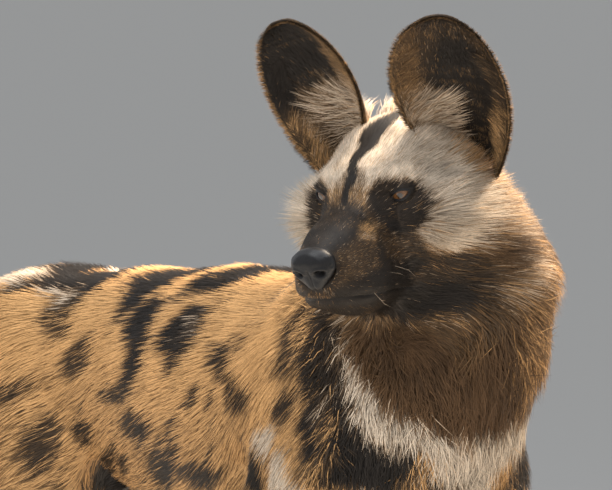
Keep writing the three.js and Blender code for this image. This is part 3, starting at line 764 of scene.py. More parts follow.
print("joining the solids into one skin")
closedCopy = grownCopy(fleshNodes + boneless, skinSize["joinBy"])
solidTree = BVHTree.FromBMesh(closedCopy)
skin = remeshed(newObject("skin", closedCopy), skinSize["voxel"])
shape = bmesh.new()
shape.from_mesh(skin.data)
smoothed(shape, shape.verts, skinSize["smoothing"])
places = vertexPlaces(shape)
refine(shape, headZone(places, 1))
places = vertexPlaces(shape)
fine = headZone(places, 1)
for vertex, isFine in zip(shape.verts, fine):
    if isFine:
        vertex.co = solidTree.find_nearest(vertex.co)[0]
fineVerts = [v for v, isFine in zip(shape.verts, fine) if isFine]
smoothed(shape, fineVerts, skinSize["headSmoothing"])
refine(shape, headZone(vertexPlaces(shape), 2))
refine(shape, headZone(vertexPlaces(shape), 3))
fineVerts = [v for v, isFine in zip(shape.verts, headZone(vertexPlaces(shape), 2)) if isFine]
smoothed(shape, fineVerts, skinSize["lidSmoothing"])
shape.normal_update()
places = vertexPlaces(shape)
normals = np.array([v.normal for v in shape.verts])
sizes = coatAt(places)[1]
sunk = places - normals * (sizes[:, 2] + toeGrooves(places))[:, None]
head = frameToHead(sunk)
head = shapeMouth(head, normals @ headAxes)
head = shapeLids(head)
head[:, 1] += roundNose["hollowDepth"] * insideMark(head, *roundNose["hollow"])
placeVertices(shape, headToFrame(head))
earRows = []  # first vertex of each ear in the skin
for side in (1, -1):
    leaf = leafMesh(side)
    leafData = bpy.data.meshes.new("leaf")
    leaf.to_mesh(leafData)
    leaf.free()
    earRows.append(len(shape.verts))
    shape.from_mesh(leafData)
shape.to_mesh(skin.data)
skinCount = len(shape.verts)
shape.free()
print("skin has", len(skin.data.polygons), "faces")

# Ground for the hair: the skin's faces of one part of the body, unwrapped on their own
unwrapAngle = math.radians(70)


def meshArray(collection, name, width, kind=float):
    values = np.zeros(len(collection) * width, kind)
    collection.foreach_get(name, values)
    return values.reshape(-1, width)


skinPlaces = meshArray(skin.data.vertices, "co", 3) / mm
skinGroups = coatAt(skinPlaces)[2].astype("<U8")
skinGroups[earRows[0]:] = "ear"


def groundFor(group):
    patch = bmesh.new()
    patch.from_mesh(skin.data)
    patch.verts.ensure_lookup_table()
    unwanted = [f for f in patch.faces if skinGroups[f.verts[0].index] != group]
    bmesh.ops.delete(patch, geom=unwanted, context="FACES")
    made = newObject("ground", patch)
    bpy.context.view_layer.objects.active = made
    made.select_set(True)
    bpy.ops.object.mode_set(mode="EDIT")
    bpy.ops.mesh.select_all(action="SELECT")
    bpy.ops.uv.smart_project(angle_limit=unwrapAngle, island_margin=0.004, area_weight=0.5)
    bpy.ops.object.mode_set(mode="OBJECT")
    mesh = made.data
    mesh.calc_loop_triangles()
    corners = meshArray(mesh.loop_triangles, "vertices", 3, np.int32)
    loops = meshArray(mesh.loop_triangles, "loops", 3, np.int32)
    points = meshArray(mesh.vertices, "co", 3) / mm
    normals = meshArray(mesh.vertex_normals, "vector", 3)
    unwrap = meshArray(mesh.uv_layers.active.data, "uv", 2)
    ground = {"points": points[corners], "normals": normals[corners], "unwrap": unwrap[loops]}
    bpy.data.objects.remove(made)
    return ground


def rootsOn(ground):
    # places for the hairs, thicker where the guides say so, evenly spread along the faces
    points = ground["points"]
    cross = np.cross(points[:, 1] - points[:, 0], points[:, 2] - points[:, 0])
    areas = np.linalg.norm(cross, axis=1) / 2
    sizes = coatAt(points.mean(1))[1]
    wanted = areas * sizes[:, 3] / (0.5 * sizes[:, 0] * sizes[:, 1])
    total = np.cumsum(wanted)
    count = int(total[-1])
    picks = np.searchsorted(total, (np.arange(count) + rng.random(count)) * total[-1] / count)
    picks = np.minimum(picks, len(points) - 1)
    share = rng.random((count, 2))
    share = np.where(share.sum(1, keepdims=True) > 1, 1 - share, share)
    weights = np.stack([1 - share.sum(1), share[:, 0], share[:, 1]], axis=1)[:, :, None]
    return {
        "places": (points[picks] * weights).sum(1),
        "normals": unit((ground["normals"][picks] * weights).sum(1)),
        "unwrap": (ground["unwrap"][picks] * weights).sum(1),
    }


def keepRoots(roots, wanted):
    return {name: values[wanted] for name, values in roots.items()}


# Hairs: thin three-sided spikes, or locks with a bend. Each has its own patch on the unwrap.
hair = {
    "patch": 0.003,
    "thickness": 0.32,  # of the width
    "buried": 0.5,
}


def chosenColours(weights, share):
    # a share of each hair's colour is one of the place's colours, picked by how much of it the place has
    picks = (np.cumsum(weights, axis=1) < rng.random((len(weights), 1))).sum(1)
    return share * np.eye(4)[np.minimum(picks, 3)] + (1 - share) * weights


def combedHairs(roots, sizes, flows, unruly):
    # direction, length, width and height of each hair
    places, normals = roots["places"], roots["normals"]
    count = len(places)
    drift = 0.75 * noiseVectors(places, 15, 101) + 0.5 * noiseVectors(places, 5, 107)
    flows = flows + (drift + 0.35 * rng.normal(size=(count, 3))) * np.asarray(unruly).reshape(-1, 1)
    flows = flows - normals * (flows * normals).sum(1, keepdims=True)
    return {
        "flow": unit(flows),
        "length": sizes[:, 0] * rng.uniform(0.65, 1.2, count),
        "width": sizes[:, 1] * rng.uniform(0.75, 1.3, count),
        "height": sizes[:, 2] * rng.uniform(0.5, 1.3, count),
        "droop": np.zeros(count),
    }


def growHairs(name, roots, combed, colours, tone, bent):
    # one closed mesh of all the hairs
    places, normals, flow = roots["places"], roots["normals"], combed["flow"]
    length, width = combed["length"][:, None], combed["width"][:, None]
    height = np.minimum(combed["height"], combed["length"] * 0.8)[:, None]
    sideways = np.cross(normals, flow)
    reach = np.sqrt(np.maximum(length**2 - height**2, 0))
    root = places - normals * hair["buried"]
    tip = places + flow * reach + normals * height * (0.92 if bent else 1)
    tip[:, 2] -= combed["droop"]
    if bent:
        # the hair leaves the skin steeply and then lies down
        middle = places + flow * reach * 0.46 + normals * height * 0.74
        middle[:, 2] -= combed["droop"] * 0.3
    tip[:, 2] = np.maximum(tip[:, 2], 0.3)
    half = sideways * width / 2
    ridge = normals * width * hair["thickness"]
    rings = [root, middle] if bent else [root]
    corners = []
    for k, ring in enumerate(rings):
        taper = 1 - 0.15 * k
        corners += [ring + half * taper, ring - half * taper, ring + ridge * taper]
    corners = np.stack(corners + [tip], axis=1)
    each = corners.shape[1]
    last = each - 1
    faces = [(0, 2, 1)]
    for k in range(len(rings) - 1):
        a, b = 3 * k, 3 * k + 3
        faces += [(a, a + 1, b + 1), (a, b + 1, b), (a + 1, a + 2, b + 2), (a + 1, b + 2, b + 1)]
        faces += [(a + 2, a, b), (a + 2, b, b + 2)]
    a = last - 3
    faces += [(a, a + 1, last), (a + 1, a + 2, last), (a + 2, a, last)]
    faces = np.array(faces)
    count = len(places)
    sample = corners[0][faces]
    volume = (sample[:, 0] * np.cross(sample[:, 1], sample[:, 2])).sum()
    if volume < 0:
        faces = faces[:, ::-1]
    loops = (np.arange(count)[:, None, None] * each + faces[None]).reshape(-1)
    mesh = bpy.data.meshes.new(name)
    mesh.vertices.add(count * each)
    mesh.vertices.foreach_set("co", (corners * mm).reshape(-1))
    mesh.loops.add(len(loops))
    mesh.loops.foreach_set("vertex_index", loops.astype(np.int32))
    mesh.polygons.add(len(loops) // 3)
    mesh.polygons.foreach_set("loop_start", np.arange(0, len(loops), 3, dtype=np.int32))
    mesh.update()
    mesh.validate()
    mesh.shade_smooth()
    # light falls on a hair as on the coat round it, turned a little to the hair's own sides
    leaning = [0.5 * sideways, -0.5 * sideways, 0 * sideways] * len(rings) + [0.35 * flow]
    facing = unit(normals[:, None] + np.stack(leaning, axis=1)).reshape(-1, 3)
    mesh.normals_split_custom_set_from_vertices(facing)
    patch = [(-1, -1), (1, -1), (0, -0.6)]
    if bent:
        patch += [(-0.8, 0.1), (0.8, 0.1), (0.1, 0.3)]
    patch = np.array(patch + [(0, 1)]) * hair["patch"] / 2
    spread = hair["patch"] + (1 - 2 * hair["patch"]) * roots["unwrap"]
    unwrap = (spread[:, None] + patch[None]).reshape(-1, 2)
    layer = mesh.uv_layers.new(name="OFBake")
    layer.data.foreach_set("uv", unwrap[loops].reshape(-1).astype(np.float32))
    along = np.array([0, 0, 0, 0.5, 0.5, 0.5, 1] if bent else [0, 0, 0, 1])
    storeMarks(mesh, np.repeat(colours, each, axis=0), np.repeat(tone, each), np.tile(along, count))
    made = bpy.data.objects.new(name, mesh)
    bpy.context.scene.collection.objects.link(made)
    print(name, "has", count, "hairs and", len(mesh.polygons), "faces")
    return made


def storeMarks(mesh, colours, tone, along):
    marks = mesh.attributes.new("marks", "FLOAT_COLOR", "POINT")
    values = np.column_stack([colours[:, 1:], np.ones(len(tone))])
    marks.data.foreach_set("color", values.reshape(-1).astype(np.float32))
    strand = mesh.attributes.new("strand", "FLOAT_COLOR", "POINT")
    values = np.column_stack([tone, along, np.zeros(len(tone)), np.ones(len(tone))])
    strand.data.foreach_set("color", values.reshape(-1).astype(np.float32))


def hairTone(places, contrast):
    tone = 0.6 * softNoise(places, 13, 131) + 0.4 * softNoise(places, 4.5, 137)
    tone = tone + rng.normal(0, 0.3, len(places))
    return np.clip(0.5 + contrast * tone, 0, 1)


noseTree = BVHTree.FromBMesh(grownCopy(["nose"], 0.0))


def bareSkin(places):
    # the eye openings, the nose pad and the groove of the mouth carry no hair
    head = frameToHead(places)
    bare = np.zeros(len(places), bool)
    for side in (1, -1):
        view = eyeView(head, side)
        bare |= (view[3] < 1.32) & (view[0] < 16)
    gap, present = mouthGap(head)
    onLips = (present > 0.5) & (head[:, 1] > mouth["front"]) & (abs(head[:, 0]) < 60)
    bare |= (abs(gap) < 0.9) & onLips
    for index in np.flatnonzero(head[:, 1] < -66):
        place = Vector(places[index]) * mm
        found, normal, _, away = noseTree.find_nearest(place)
        inside = (place - found).dot(normal) < 0
        bare[index] |= inside or away < 0.6 * mm
    return bare


coats = []
pieceLimit = {"spike": 46000, "lock": 18500}  # hairs in one piece
coatCharacter = {
    "head": {
        "kind": "spike", "unruly": 0.26, "lift": 0.85, "contrast": 0.75, "pick": 0.65, "slot": "coat_pale"
    },
    "neck": {"kind": "lock", "unruly": 0.6, "lift": 1.0, "contrast": 0.9, "pick": 0.7, "slot": "coat_brown"},
    "trunk": {"kind": "spike", "unruly": 0.2, "lift": 0.5, "contrast": 0.36, "pick": 0.7, "slot": "coat_tan"},
    "legs": {"kind": "spike", "unruly": 0.2, "lift": 0.6, "contrast": 0.32, "pick": 0.7, "slot": "coat_dark"},
    "tail": {"kind": "lock", "unruly": 0.4, "lift": 1.0, "contrast": 0.4, "pick": 0.8, "slot": "coat_tan"},
}
standing = [  # where hair of the head and neck stands out: place in the head, reach, how many times higher
    ((68, 44, -34), 34, 2.0),
    ((-68, 44, -34), 34, 2.0),
    ((58, 10, -24), 26, 2.0),
    ((-58, 8, -24), 30, 7.5),
    ((52, 82, 26), 20, 2.2),
    ((-52, 82, 26), 20, 2.2),
]


def standingOut(places):
    head = frameToHead(places)
    higher = np.ones(len(places))
    for middle, reach, times in standing:
        higher += (times - 1) * np.exp(-((np.linalg.norm(head - middle, axis=1) / reach) ** 2))
    return higher


for group in coatGuides:
    ground = groundFor(group)
    roots = rootsOn(ground)
    roots = keepRoots(roots, ~bareSkin(roots["places"]))
    flows, sizes, found = coatAt(roots["places"])
    character = coatCharacter[group]
    bent = character["kind"] == "lock"
    combed = combedHairs(roots, sizes, flows, character["unruly"])
    combed["height"] *= character["lift"] * standingOut(roots["places"])
    weights = markings(roots["places"], np.full(len(sizes), group))
    colours = chosenColours(weights, character["pick"])
    tone = hairTone(roots["places"], character["contrast"])
    pieces = int(np.ceil(len(sizes) / pieceLimit[character["kind"]]))
    for k in range(pieces):
        part = np.arange(k, len(sizes), pieces)
        name = f"coat_{group}_{k + 1}"
        partCombed = {key: values[part] for key, values in combed.items()}
        made = growHairs(name, keepRoots(roots, part), partCombed, colours[part], tone[part], bent)
        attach(made, "root")
        coats.append(made)

# Hair of the ears: short cover on both faces, long pale hair from the inner edge, fuzz round the rim
earHair = {
    "cover": {"count": 19000, "length": 6.5, "width": 0.6, "height": 1.3},
    "margin": {"count": 3600, "length": 11, "width": 0.6, "height": 3.2},
    "rim": {"count": 5200, "length": 6, "width": 0.4, "height": 1.6},
    "tuft": {"count": 700, "length": 26, "width": 0.6, "height": 7.0},
}
earKinds = {"coat": ["cover", "margin", "rim"], "tuft": ["tuft"]}


def earRoots(side, up, across, inner):
    lift = np.where(inner > 0, 1.0, -1.0) * ear["thickness"] / 2
    step = 0.004
    places = earPoints(side, up, across, lift)
    upward = unit(earPoints(side, np.minimum(up + step, 0.999), across, lift) - places)
    outward = unit(earPoints(side, up, across + step, lift) - places)
    normals = unit(np.cross(outward, upward)) * np.where(inner > 0, 1.0, -1.0)[:, None]
    facing = earPoints(side, up, across, lift + 1) - places
    normals *= np.sign((normals * facing).sum(1) * np.where(inner > 0, 1.0, -1.0))[:, None]
    unwrap = np.stack([(across + 1) / 4 + np.where(inner > 0, 0, 0.5), up], axis=1)
    return {"places": places, "normals": normals, "unwrap": np.clip(unwrap, 0, 1)}, upward, outward


def earPlaces(side, kind, count):
    # where the hairs of one kind grow on the leaf
    up = rng.uniform(0.05, 0.985, count)
    across = rng.uniform(-0.985, 0.985, count)
    inner = (rng.random(count) < 0.55).astype(float)
    if kind == "margin":
        up = rng.uniform(0.05, 0.75, count)
        across = np.sign(rng.random(count) - 0.3) * rng.uniform(0.6, 0.96, count)
        inner[:] = 1
    if kind == "tuft":
        low, high, near, far = ear["tuftPlace"][side]
        up = rng.uniform(low, high, count)
        across = rng.uniform(near, far, count)
        inner[:] = 1
    if kind == "rim":
        edge = rng.random(count) < 0.7
        up = np.where(edge, rng.uniform(0.1, 0.985, count), rng.uniform(0.97, 0.985, count))
        across = np.where(edge, np.sign(rng.random(count) - 0.5) * rng.uniform(0.97, 1, count), across)
    return up, across, inner


for side in (1, -1):
    for piece, kinds in earKinds.items():
        parts = []
        for kind in kinds:
            size = earHair[kind]
            up, across, inner = earPlaces(side, kind, size["count"])
            roots, upward, outward = earRoots(side, up, across, inner)
            fan = across * (0.35 + 0.8 * smoothStep(0.55, 1, up))
            flows = upward + outward * fan[:, None]
            if kind == "margin":
                flows = upward * 0.7 - outward * (np.sign(across) * 0.7)[:, None]
            if kind == "tuft":
                flows = outward * 0.8 + upward * (1.9 * up - 0.15)[:, None]
            if kind == "rim":
                spread = np.where(abs(across) > 0.96, np.sign(across), across)
                flows = upward * 0.5 + outward * spread[:, None] * 0.8
            sizes = np.tile([size["length"], size["width"], size["height"]], (len(up), 1)).astype(float)
            combed = combedHairs(roots, sizes, flows, 0.3)
            combed["length"] *= 1 - 0.6 * smoothStep(0.9, 0.985, up)
            weights = earMarkings(side, up, across, inner)
            if kind == "tuft":
                weights = paintOver(weights, "pale", np.full(len(up), 0.3))
            if kind == "rim":
                weights = paintOver(weights, "tan", np.full(len(up), 0.35))
            parts.append((roots, combed, chosenColours(weights, 0.5), hairTone(roots["places"], 0.6)))
        roots = {key: np.concatenate([part[0][key] for part in parts]) for key in parts[0][0]}
        combed = {key: np.concatenate([part[1][key] for part in parts]) for key in parts[0][1]}
        colours = np.concatenate([part[2] for part in parts])
        tone = np.concatenate([part[3] for part in parts])
        name = ("coat_ear_" if piece == "coat" else "tuft_ear_") + ("left" if side > 0 else "right")
        made = growHairs(name, roots, combed, colours, tone, piece == "tuft")
        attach(made, "root")
        coats.append(made)

# Markings of the skin, the same as the hairs over it
skinWeights = markings(skinPlaces, skinGroups)
for k, side in enumerate((1, -1)):
    tree = KDTree(60 * 40 * 2)
    grid = np.meshgrid(np.linspace(0.03, 0.985, 60), np.linspace(-1, 1, 40))
    up, across = [values.reshape(-1) for values in grid]
    for inner in (0, 1):
        lift = np.full(len(up), (inner - 0.5) * ear["thickness"])
        for index, place in enumerate(earPoints(side, up, across, lift)):
            tree.insert(place, index * 2 + inner)
    tree.balance()
    rows = np.arange(earRows[k], earRows[k + 1] if k == 0 else skinCount)
    found = np.array([tree.find(place)[1] for place in skinPlaces[rows]])
    leafUp, leafAcross, leafInner = up[found // 2], across[found // 2], (found % 2).astype(float)
    skinWeights[rows] = earMarkings(side, leafUp, leafAcross, leafInner)
bareHead = frameToHead(skinPlaces)
lips, present = mouthGap(bareHead)
onLips = (bareHead[:, 1] > mouth["front"]) * (abs(bareHead[:, 0]) < 60)
darkSkin = present * smoothStep(3.2, 1.8, abs(lips)) * onLips
for side in (1, -1):
    view = eyeView(bareHead, side)
    darkSkin = np.maximum(darkSkin, smoothStep(1.8, 1.5, view[3]) * (view[0] < 18))
darkNose = insideMark(bareHead, *roundNose["darkSkin"])
darkSkin = np.where(skinGroups == "head", np.maximum(darkSkin, 0.95 * darkNose), 0)
skinWeights = paintOver(skinWeights, "dark", darkSkin)
storeMarks(skin.data, skinWeights, np.full(skinCount, 0.4), np.full(skinCount, 0.3))
skin.data.shade_smooth()
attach(skin, "root")
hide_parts(*fleshNodes, *earNodes)

# Eyeballs, with the iris and pupil told by the distance from the line of sight
eyeballs = bmesh.new()
for side in (1, -1):
    gaze = Vector(headAxes @ eyeAxes(side)[0])
    middle = Vector(headToFrame(eyeMiddle(side))) * mm
    place = Matrix.Translation(middle) @ gaze.to_track_quat("Z", "Y").to_matrix().to_4x4()
    bmesh.ops.create_uvsphere(
        eyeballs, u_segments=64, v_segments=48, radius=pose["eyeRadius"] * mm, matrix=place
    )
bmesh.ops.recalc_face_normals(eyeballs, faces=eyeballs.faces)
lookAway = np.full(len(eyeballs.verts), 99.0)
ballHead = frameToHead(vertexPlaces(eyeballs))
for side in (1, -1):
    reach, ways, arc, edge = eyeView(ballHead, side)
    own = reach < pose["eyeRadius"] + 2
    lookAway[own] = np.linalg.norm(arc[own], axis=1)
    bulge = 0.6 * smoothStep(5.5, 2.5, lookAway) * own
    ballHead = ballHead + ways * bulge[:, None]
placeVertices(eyeballs, headToFrame(ballHead))
eyes = newObject("eyes", eyeballs)
eyes.data.shade_smooth()
iris = eyes.data.attributes.new("lookAway", "FLOAT", "POINT")
iris.data.foreach_set("value", lookAway.astype(np.float32))
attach(eyes, "root")
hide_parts("eye_left", "eye_right")

# Lid rims: a dark moist edge along each opening
rims = []
for side in (1, -1):
    gaze, across, upright = eyeAxes(side)
    rimCurve = bpy.data.curves.new("lid rim", "CURVE")
    rimCurve.dimensions = "3D"
    rimCurve.bevel_depth = eye["rim"] * mm
    rimCurve.bevel_resolution = 3
    spline = rimCurve.splines.new("POLY")
    steps = 72
    spline.points.add(steps - 1)
    spline.use_cyclic_u = True
    for k in range(steps):
        angle = 2 * math.pi * k / steps
        ways = np.array([math.cos(angle), math.sin(angle)])
        # out from the middle until the almond's edge is reached
        near, far = 0.0, 14.0
        for halving in range(24):
            half = (near + far) / 2
            inside = almond(np.array([ways[0] * half]), np.array([ways[1] * half]))[0] < 1
            near, far = (half, far) if inside else (near, half)
        tilt = near / pose["eyeRadius"]
        way = gaze * math.cos(tilt) + (across * ways[0] + upright * ways[1]) * math.sin(tilt)
        place = headToFrame(eyeMiddle(side) + way * (pose["eyeRadius"] + 0.75)) * mm
        spline.points[k].co = (*place, 1)
    rims.append(bpy.data.objects.new("lid rim", rimCurve))
    bpy.context.scene.collection.objects.link(rims[-1])
rimShape = bmesh.new()
for rim in rims:
    finished = rim.evaluated_get(bpy.context.evaluated_depsgraph_get())
    rimShape.from_mesh(bpy.data.meshes.new_from_object(finished))
    bpy.data.objects.remove(rim)
bmesh.ops.recalc_face_normals(rimShape, faces=rimShape.faces)
lidRims = newObject("lid_rims", rimShape)
lidRims.data.shade_smooth()
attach(lidRims, "root")

# Nose pad: the nose solid rounded off, with nostrils, slits and the groove to the lip
nose = {
    "voxel": 0.9,
    "smoothing": 16,
    "grown": 1.5,
    "nostril": (9.8, -97, -36),
    "nostrilHalf": (5.0, 6.0, 3.8),
    "nostrilDepth": 6.0,
    "slitEnd": (17.0, -90, -31.5),
    "slitHalfWidth": 1.3,
    "slitDepth": 2.2,
    "grooveHalfWidth": 0.9,
    "grooveDepth": 1.4,
    "grooveHeights": (-30.5, -34.5),  # it starts between these
}
nosePad = remeshed(newObject("nose_pad", grownCopy(["nose"], nose["grown"])), nose["voxel"])
padShape = bmesh.new()
padShape.from_mesh(nosePad.data)
smoothed(padShape, padShape.verts, nose["smoothing"])
padShape.normal_update()
head = frameToHead(vertexPlaces(padShape))
padNormals = np.array([v.normal for v in padShape.verts]) @ headAxes
front = smoothStep(-0.1, 0.4, -padNormals[:, 1])
for side in (1, -1):
    hole = np.linalg.norm((head - np.array(nose["nostril"]) * (side, 1, 1)) / nose["nostrilHalf"], axis=1)
    inward = nose["nostrilDepth"] * (1 - smoothStep(0.55, 1.1, hole))
    start = np.array(nose["nostril"]) * (side, 1, 1)
    line = np.array(nose["slitEnd"]) * (side, 1, 1) - start
    along = np.clip((head - start) @ line / (line @ line), 0, 1)
    gap = np.linalg.norm(head - start - along[:, None] * line, axis=1)
    opened = 1 - smoothStep(0.5, 1.2, gap / (nose["slitHalfWidth"] + 1))
    slit = nose["slitDepth"] * (1 - along * 0.5) * opened
    rim = 0.7 * np.exp(-(((hole - 1.35) / 0.25) ** 2)) * (head[:, 2] > nose["nostril"][2])
    depth = np.maximum(inward, slit) - rim
    head = head - padNormals * depth[:, None]
groove = np.exp(-((head[:, 0] / nose["grooveHalfWidth"]) ** 2)) * front
groove = groove * smoothStep(*nose["grooveHeights"], head[:, 2])
head = head - padNormals * (groove * nose["grooveDepth"])[:, None]
placeVertices(padShape, headToFrame(head))
padShape.to_mesh(nosePad.data)
padShape.free()
nosePad.data.shade_smooth()
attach(nosePad, "root")
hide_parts("nose")

# Claws: four to a paw, bent cones growing from the toes
claw = {
    "radius": 3.2,
    "length": 16.0,
    "droop": 90,  # degrees from straight up to straight forward
    "curve": 3.2,  # how far the point bends down
    "flatness": 0.72,
    "height": 12.5,
}
claws = bmesh.new()
for pair, (footX, footY) in paw["foot"].items():
    for side in (1, -1):
        for toe in (-1.5, -0.5, 0.5, 1.5):
            reach = 25 - abs(toe) * 8.5
            x = side * footX + toe * paw["toeSpacing"]
            y = footY + paw["step"][pair, side] - reach - 18
            before = len(claws.verts)
            bmesh.ops.create_cone(
                claws, cap_ends=True, segments=14, radius1=claw["radius"] * mm, radius2=0.5 * mm,
                depth=claw["length"] * mm,
            )
            claws.verts.ensure_lookup_table()
            sides = {e for v in claws.verts[before:] for e in v.link_edges}
            sides = [e for e in sides if abs(e.verts[0].co.z - e.verts[1].co.z) > 5 * mm]
            bmesh.ops.subdivide_edges(claws, edges=sides, cuts=5)
            claws.verts.ensure_lookup_table()
            own = claws.verts[before:]
            for vertex in own:
                share = vertex.co.z / (claw["length"] * mm) + 0.5
                vertex.co.x *= claw["flatness"]
                vertex.co.y -= claw["curve"] * mm * share * share
            spot = Vector((x, y, claw["height"])) + Vector(bodyOrigin)
            aim = Matrix.Translation(spot * mm) @ Matrix.Rotation(math.radians(claw["droop"]), 4, "X")
            bmesh.ops.transform(claws, matrix=aim, verts=own)
bmesh.ops.recalc_face_normals(claws, faces=claws.faces)
clawPiece = newObject("claws", claws)
clawPiece.data.shade_smooth()
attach(clawPiece, "root")
print("eyes, lid rims, nose pad and claws ready")

# Single long hairs: whiskers of the upper lip, and a tuft that stands behind the inner foot of each ear
longHair = {
    "whiskers": {
        "count": 14,
        "length": (14, 28),
        "width": 0.2,
        "place": (30, -50, -52),
        "spread": (0, 16, 9),
        "way": (0, 0.75, -0.45),
        "rise": 0.45,
        "droop": 0.12,
        "colours": (0, 0.65, 0.35, 0),
        "upright": None,
    },
    "crown_tufts": {
        "count": 420,
        "length": (14, 28),
        "width": 0.7,
        "place": (28, 94, 34),
        "spread": (10, 5, 2),
        "way": (-0.1, 0.6, 0),
        "rise": 0.72,
        "droop": 0.0,
        "colours": (0.12, 0, 0.88, 0),
        "upright": (0.12, 0.05, 1),
    },
}
skinFaces = [tuple(face.vertices) for face in skin.data.polygons]
skinTree = BVHTree.FromPolygons([tuple(place) for place in skinPlaces], skinFaces)
for name, size in longHair.items():
    roots = {"places": [], "normals": [], "unwrap": []}
    ways = []
    for side in (1, -1):
        flip = np.array([side, 1, 1])
        for k in range(size["count"]):
            aim = np.array(size["place"]) + rng.normal(size=3) * size["spread"]
            place, normal, face, gap = skinTree.find_nearest(Vector(headToFrame(aim * flip)))
            if size["upright"]:
                normal = headAxes @ (np.array(size["upright"]) * flip + rng.normal(0, 0.12, 3))
            roots["places"].append(np.array(place))
            roots["normals"].append(np.array(normal) / np.linalg.norm(normal))
            roots["unwrap"].append(((k + 0.5) / size["count"], 0.25 + 0.5 * (side > 0)))
            ways.append(headAxes @ (np.array(size["way"]) * flip))
    roots = {key: np.array(values) for key, values in roots.items()}
    count = len(ways)
    combed = combedHairs(roots, np.tile([1.0, size["width"], 1.0], (count, 1)), np.array(ways), 0.3)
    combed["length"] = rng.uniform(*size["length"], count)
    combed["height"] = combed["length"] * size["rise"]
    combed["droop"] = combed["length"] * size["droop"]
    colours = np.eye(4)[rng.choice(4, count, p=size["colours"])]
    made = growHairs(name, roots, combed, colours, hairTone(roots["places"], 0.4), True)
    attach(made, "root")
    coats.append(made)


# Materials
def newMaterial(name):
    material = bpy.data.materials.new(name)
    material.use_nodes = True
    tree = material.node_tree
    return material, tree, tree.nodes["Principled BSDF"]


def groupWith(name, inputs, outputs):
    group = bpy.data.node_groups.new(name, "ShaderNodeTree")
    for socket, kind in inputs:
        group.interface.new_socket(name=socket, in_out="INPUT", socket_type=kind)
    for socket, kind in outputs:
        group.interface.new_socket(name=socket, in_out="OUTPUT", socket_type=kind)
    return group, group.nodes.new("NodeGroupInput"), group.nodes.new("NodeGroupOutput")


def mathNode(tree, operation, first, second, clamp=False):
    node = tree.nodes.new("ShaderNodeMath")
    node.operation = operation
    node.use_clamp = clamp
    for socket, value in zip(node.inputs, (first, second)):
        if isinstance(value, (int, float)):
            socket.default_value = value
        else:
            tree.links.new(value, socket)
    return node.outputs[0]


def mixColours(tree, amount, first, second, blend="MIX"):
    node = tree.nodes.new("ShaderNodeMix")
    node.data_type = "RGBA"
    node.blend_type = blend
    for socket, value in ((node.inputs[0], amount), (node.inputs[6], first), (node.inputs[7], second)):
        if isinstance(value, (int, float)):
            socket.default_value = value
        elif isinstance(value, tuple):
            socket.default_value = (*value, 1)
        else:
            tree.links.new(value, socket)
    return node.outputs[2]


coatColours = {
    "tan": (0.68, 0.38, 0.155),
    "dark": (0.020, 0.016, 0.013),
    "pale": (0.62, 0.51, 0.39),
    "brown": (0.092, 0.050, 0.023),
}
colourKind, numberKind = "NodeSocketColor", "NodeSocketFloat"


def coatColourGroup():
    # colour of hair and skin from the marks: red is dark, green is pale, blue is brown
    inputs = [("Marks", colourKind), ("Strand", colourKind)]
    inputs += [(name.title(), colourKind) for name in colourNames]
    inputs += [("Root Shade", numberKind), ("Variation", numberKind)]
    group, entry, leave = groupWith("coat colour", inputs, [("Color", colourKind), ("Dark", numberKind)])
    marks = group.nodes.new("ShaderNodeSeparateColor")
    strand = group.nodes.new("ShaderNodeSeparateColor")
    group.links.new(entry.outputs["Marks"], marks.inputs[0])
    group.links.new(entry.outputs["Strand"], strand.inputs[0])
    colour = entry.outputs["Tan"]
    for k, name in enumerate(("Brown", "Pale", "Dark")):
        share = marks.outputs[2 - k]
        colour = mixColours(group, share, colour, entry.outputs[name])
    tone = mathNode(group, "SUBTRACT", strand.outputs[0], 0.5)
    tone = mathNode(group, "MULTIPLY", tone, entry.outputs["Variation"])
    tip = mathNode(group, "SUBTRACT", strand.outputs[1], 0.6)
    tip = mathNode(group, "MULTIPLY", tip, entry.outputs["Root Shade"])
    bright = mathNode(group, "ADD", mathNode(group, "ADD", tone, 1.0), tip)
    shaded = group.nodes.new("ShaderNodeVectorMath")
    shaded.operation = "SCALE"
    group.links.new(colour, shaded.inputs[0])
    group.links.new(bright, shaded.inputs["Scale"])
    group.links.new(shaded.outputs[0], leave.inputs["Color"])
    group.links.new(marks.outputs[0], leave.inputs["Dark"])
    return group


coatGroup = coatColourGroup()


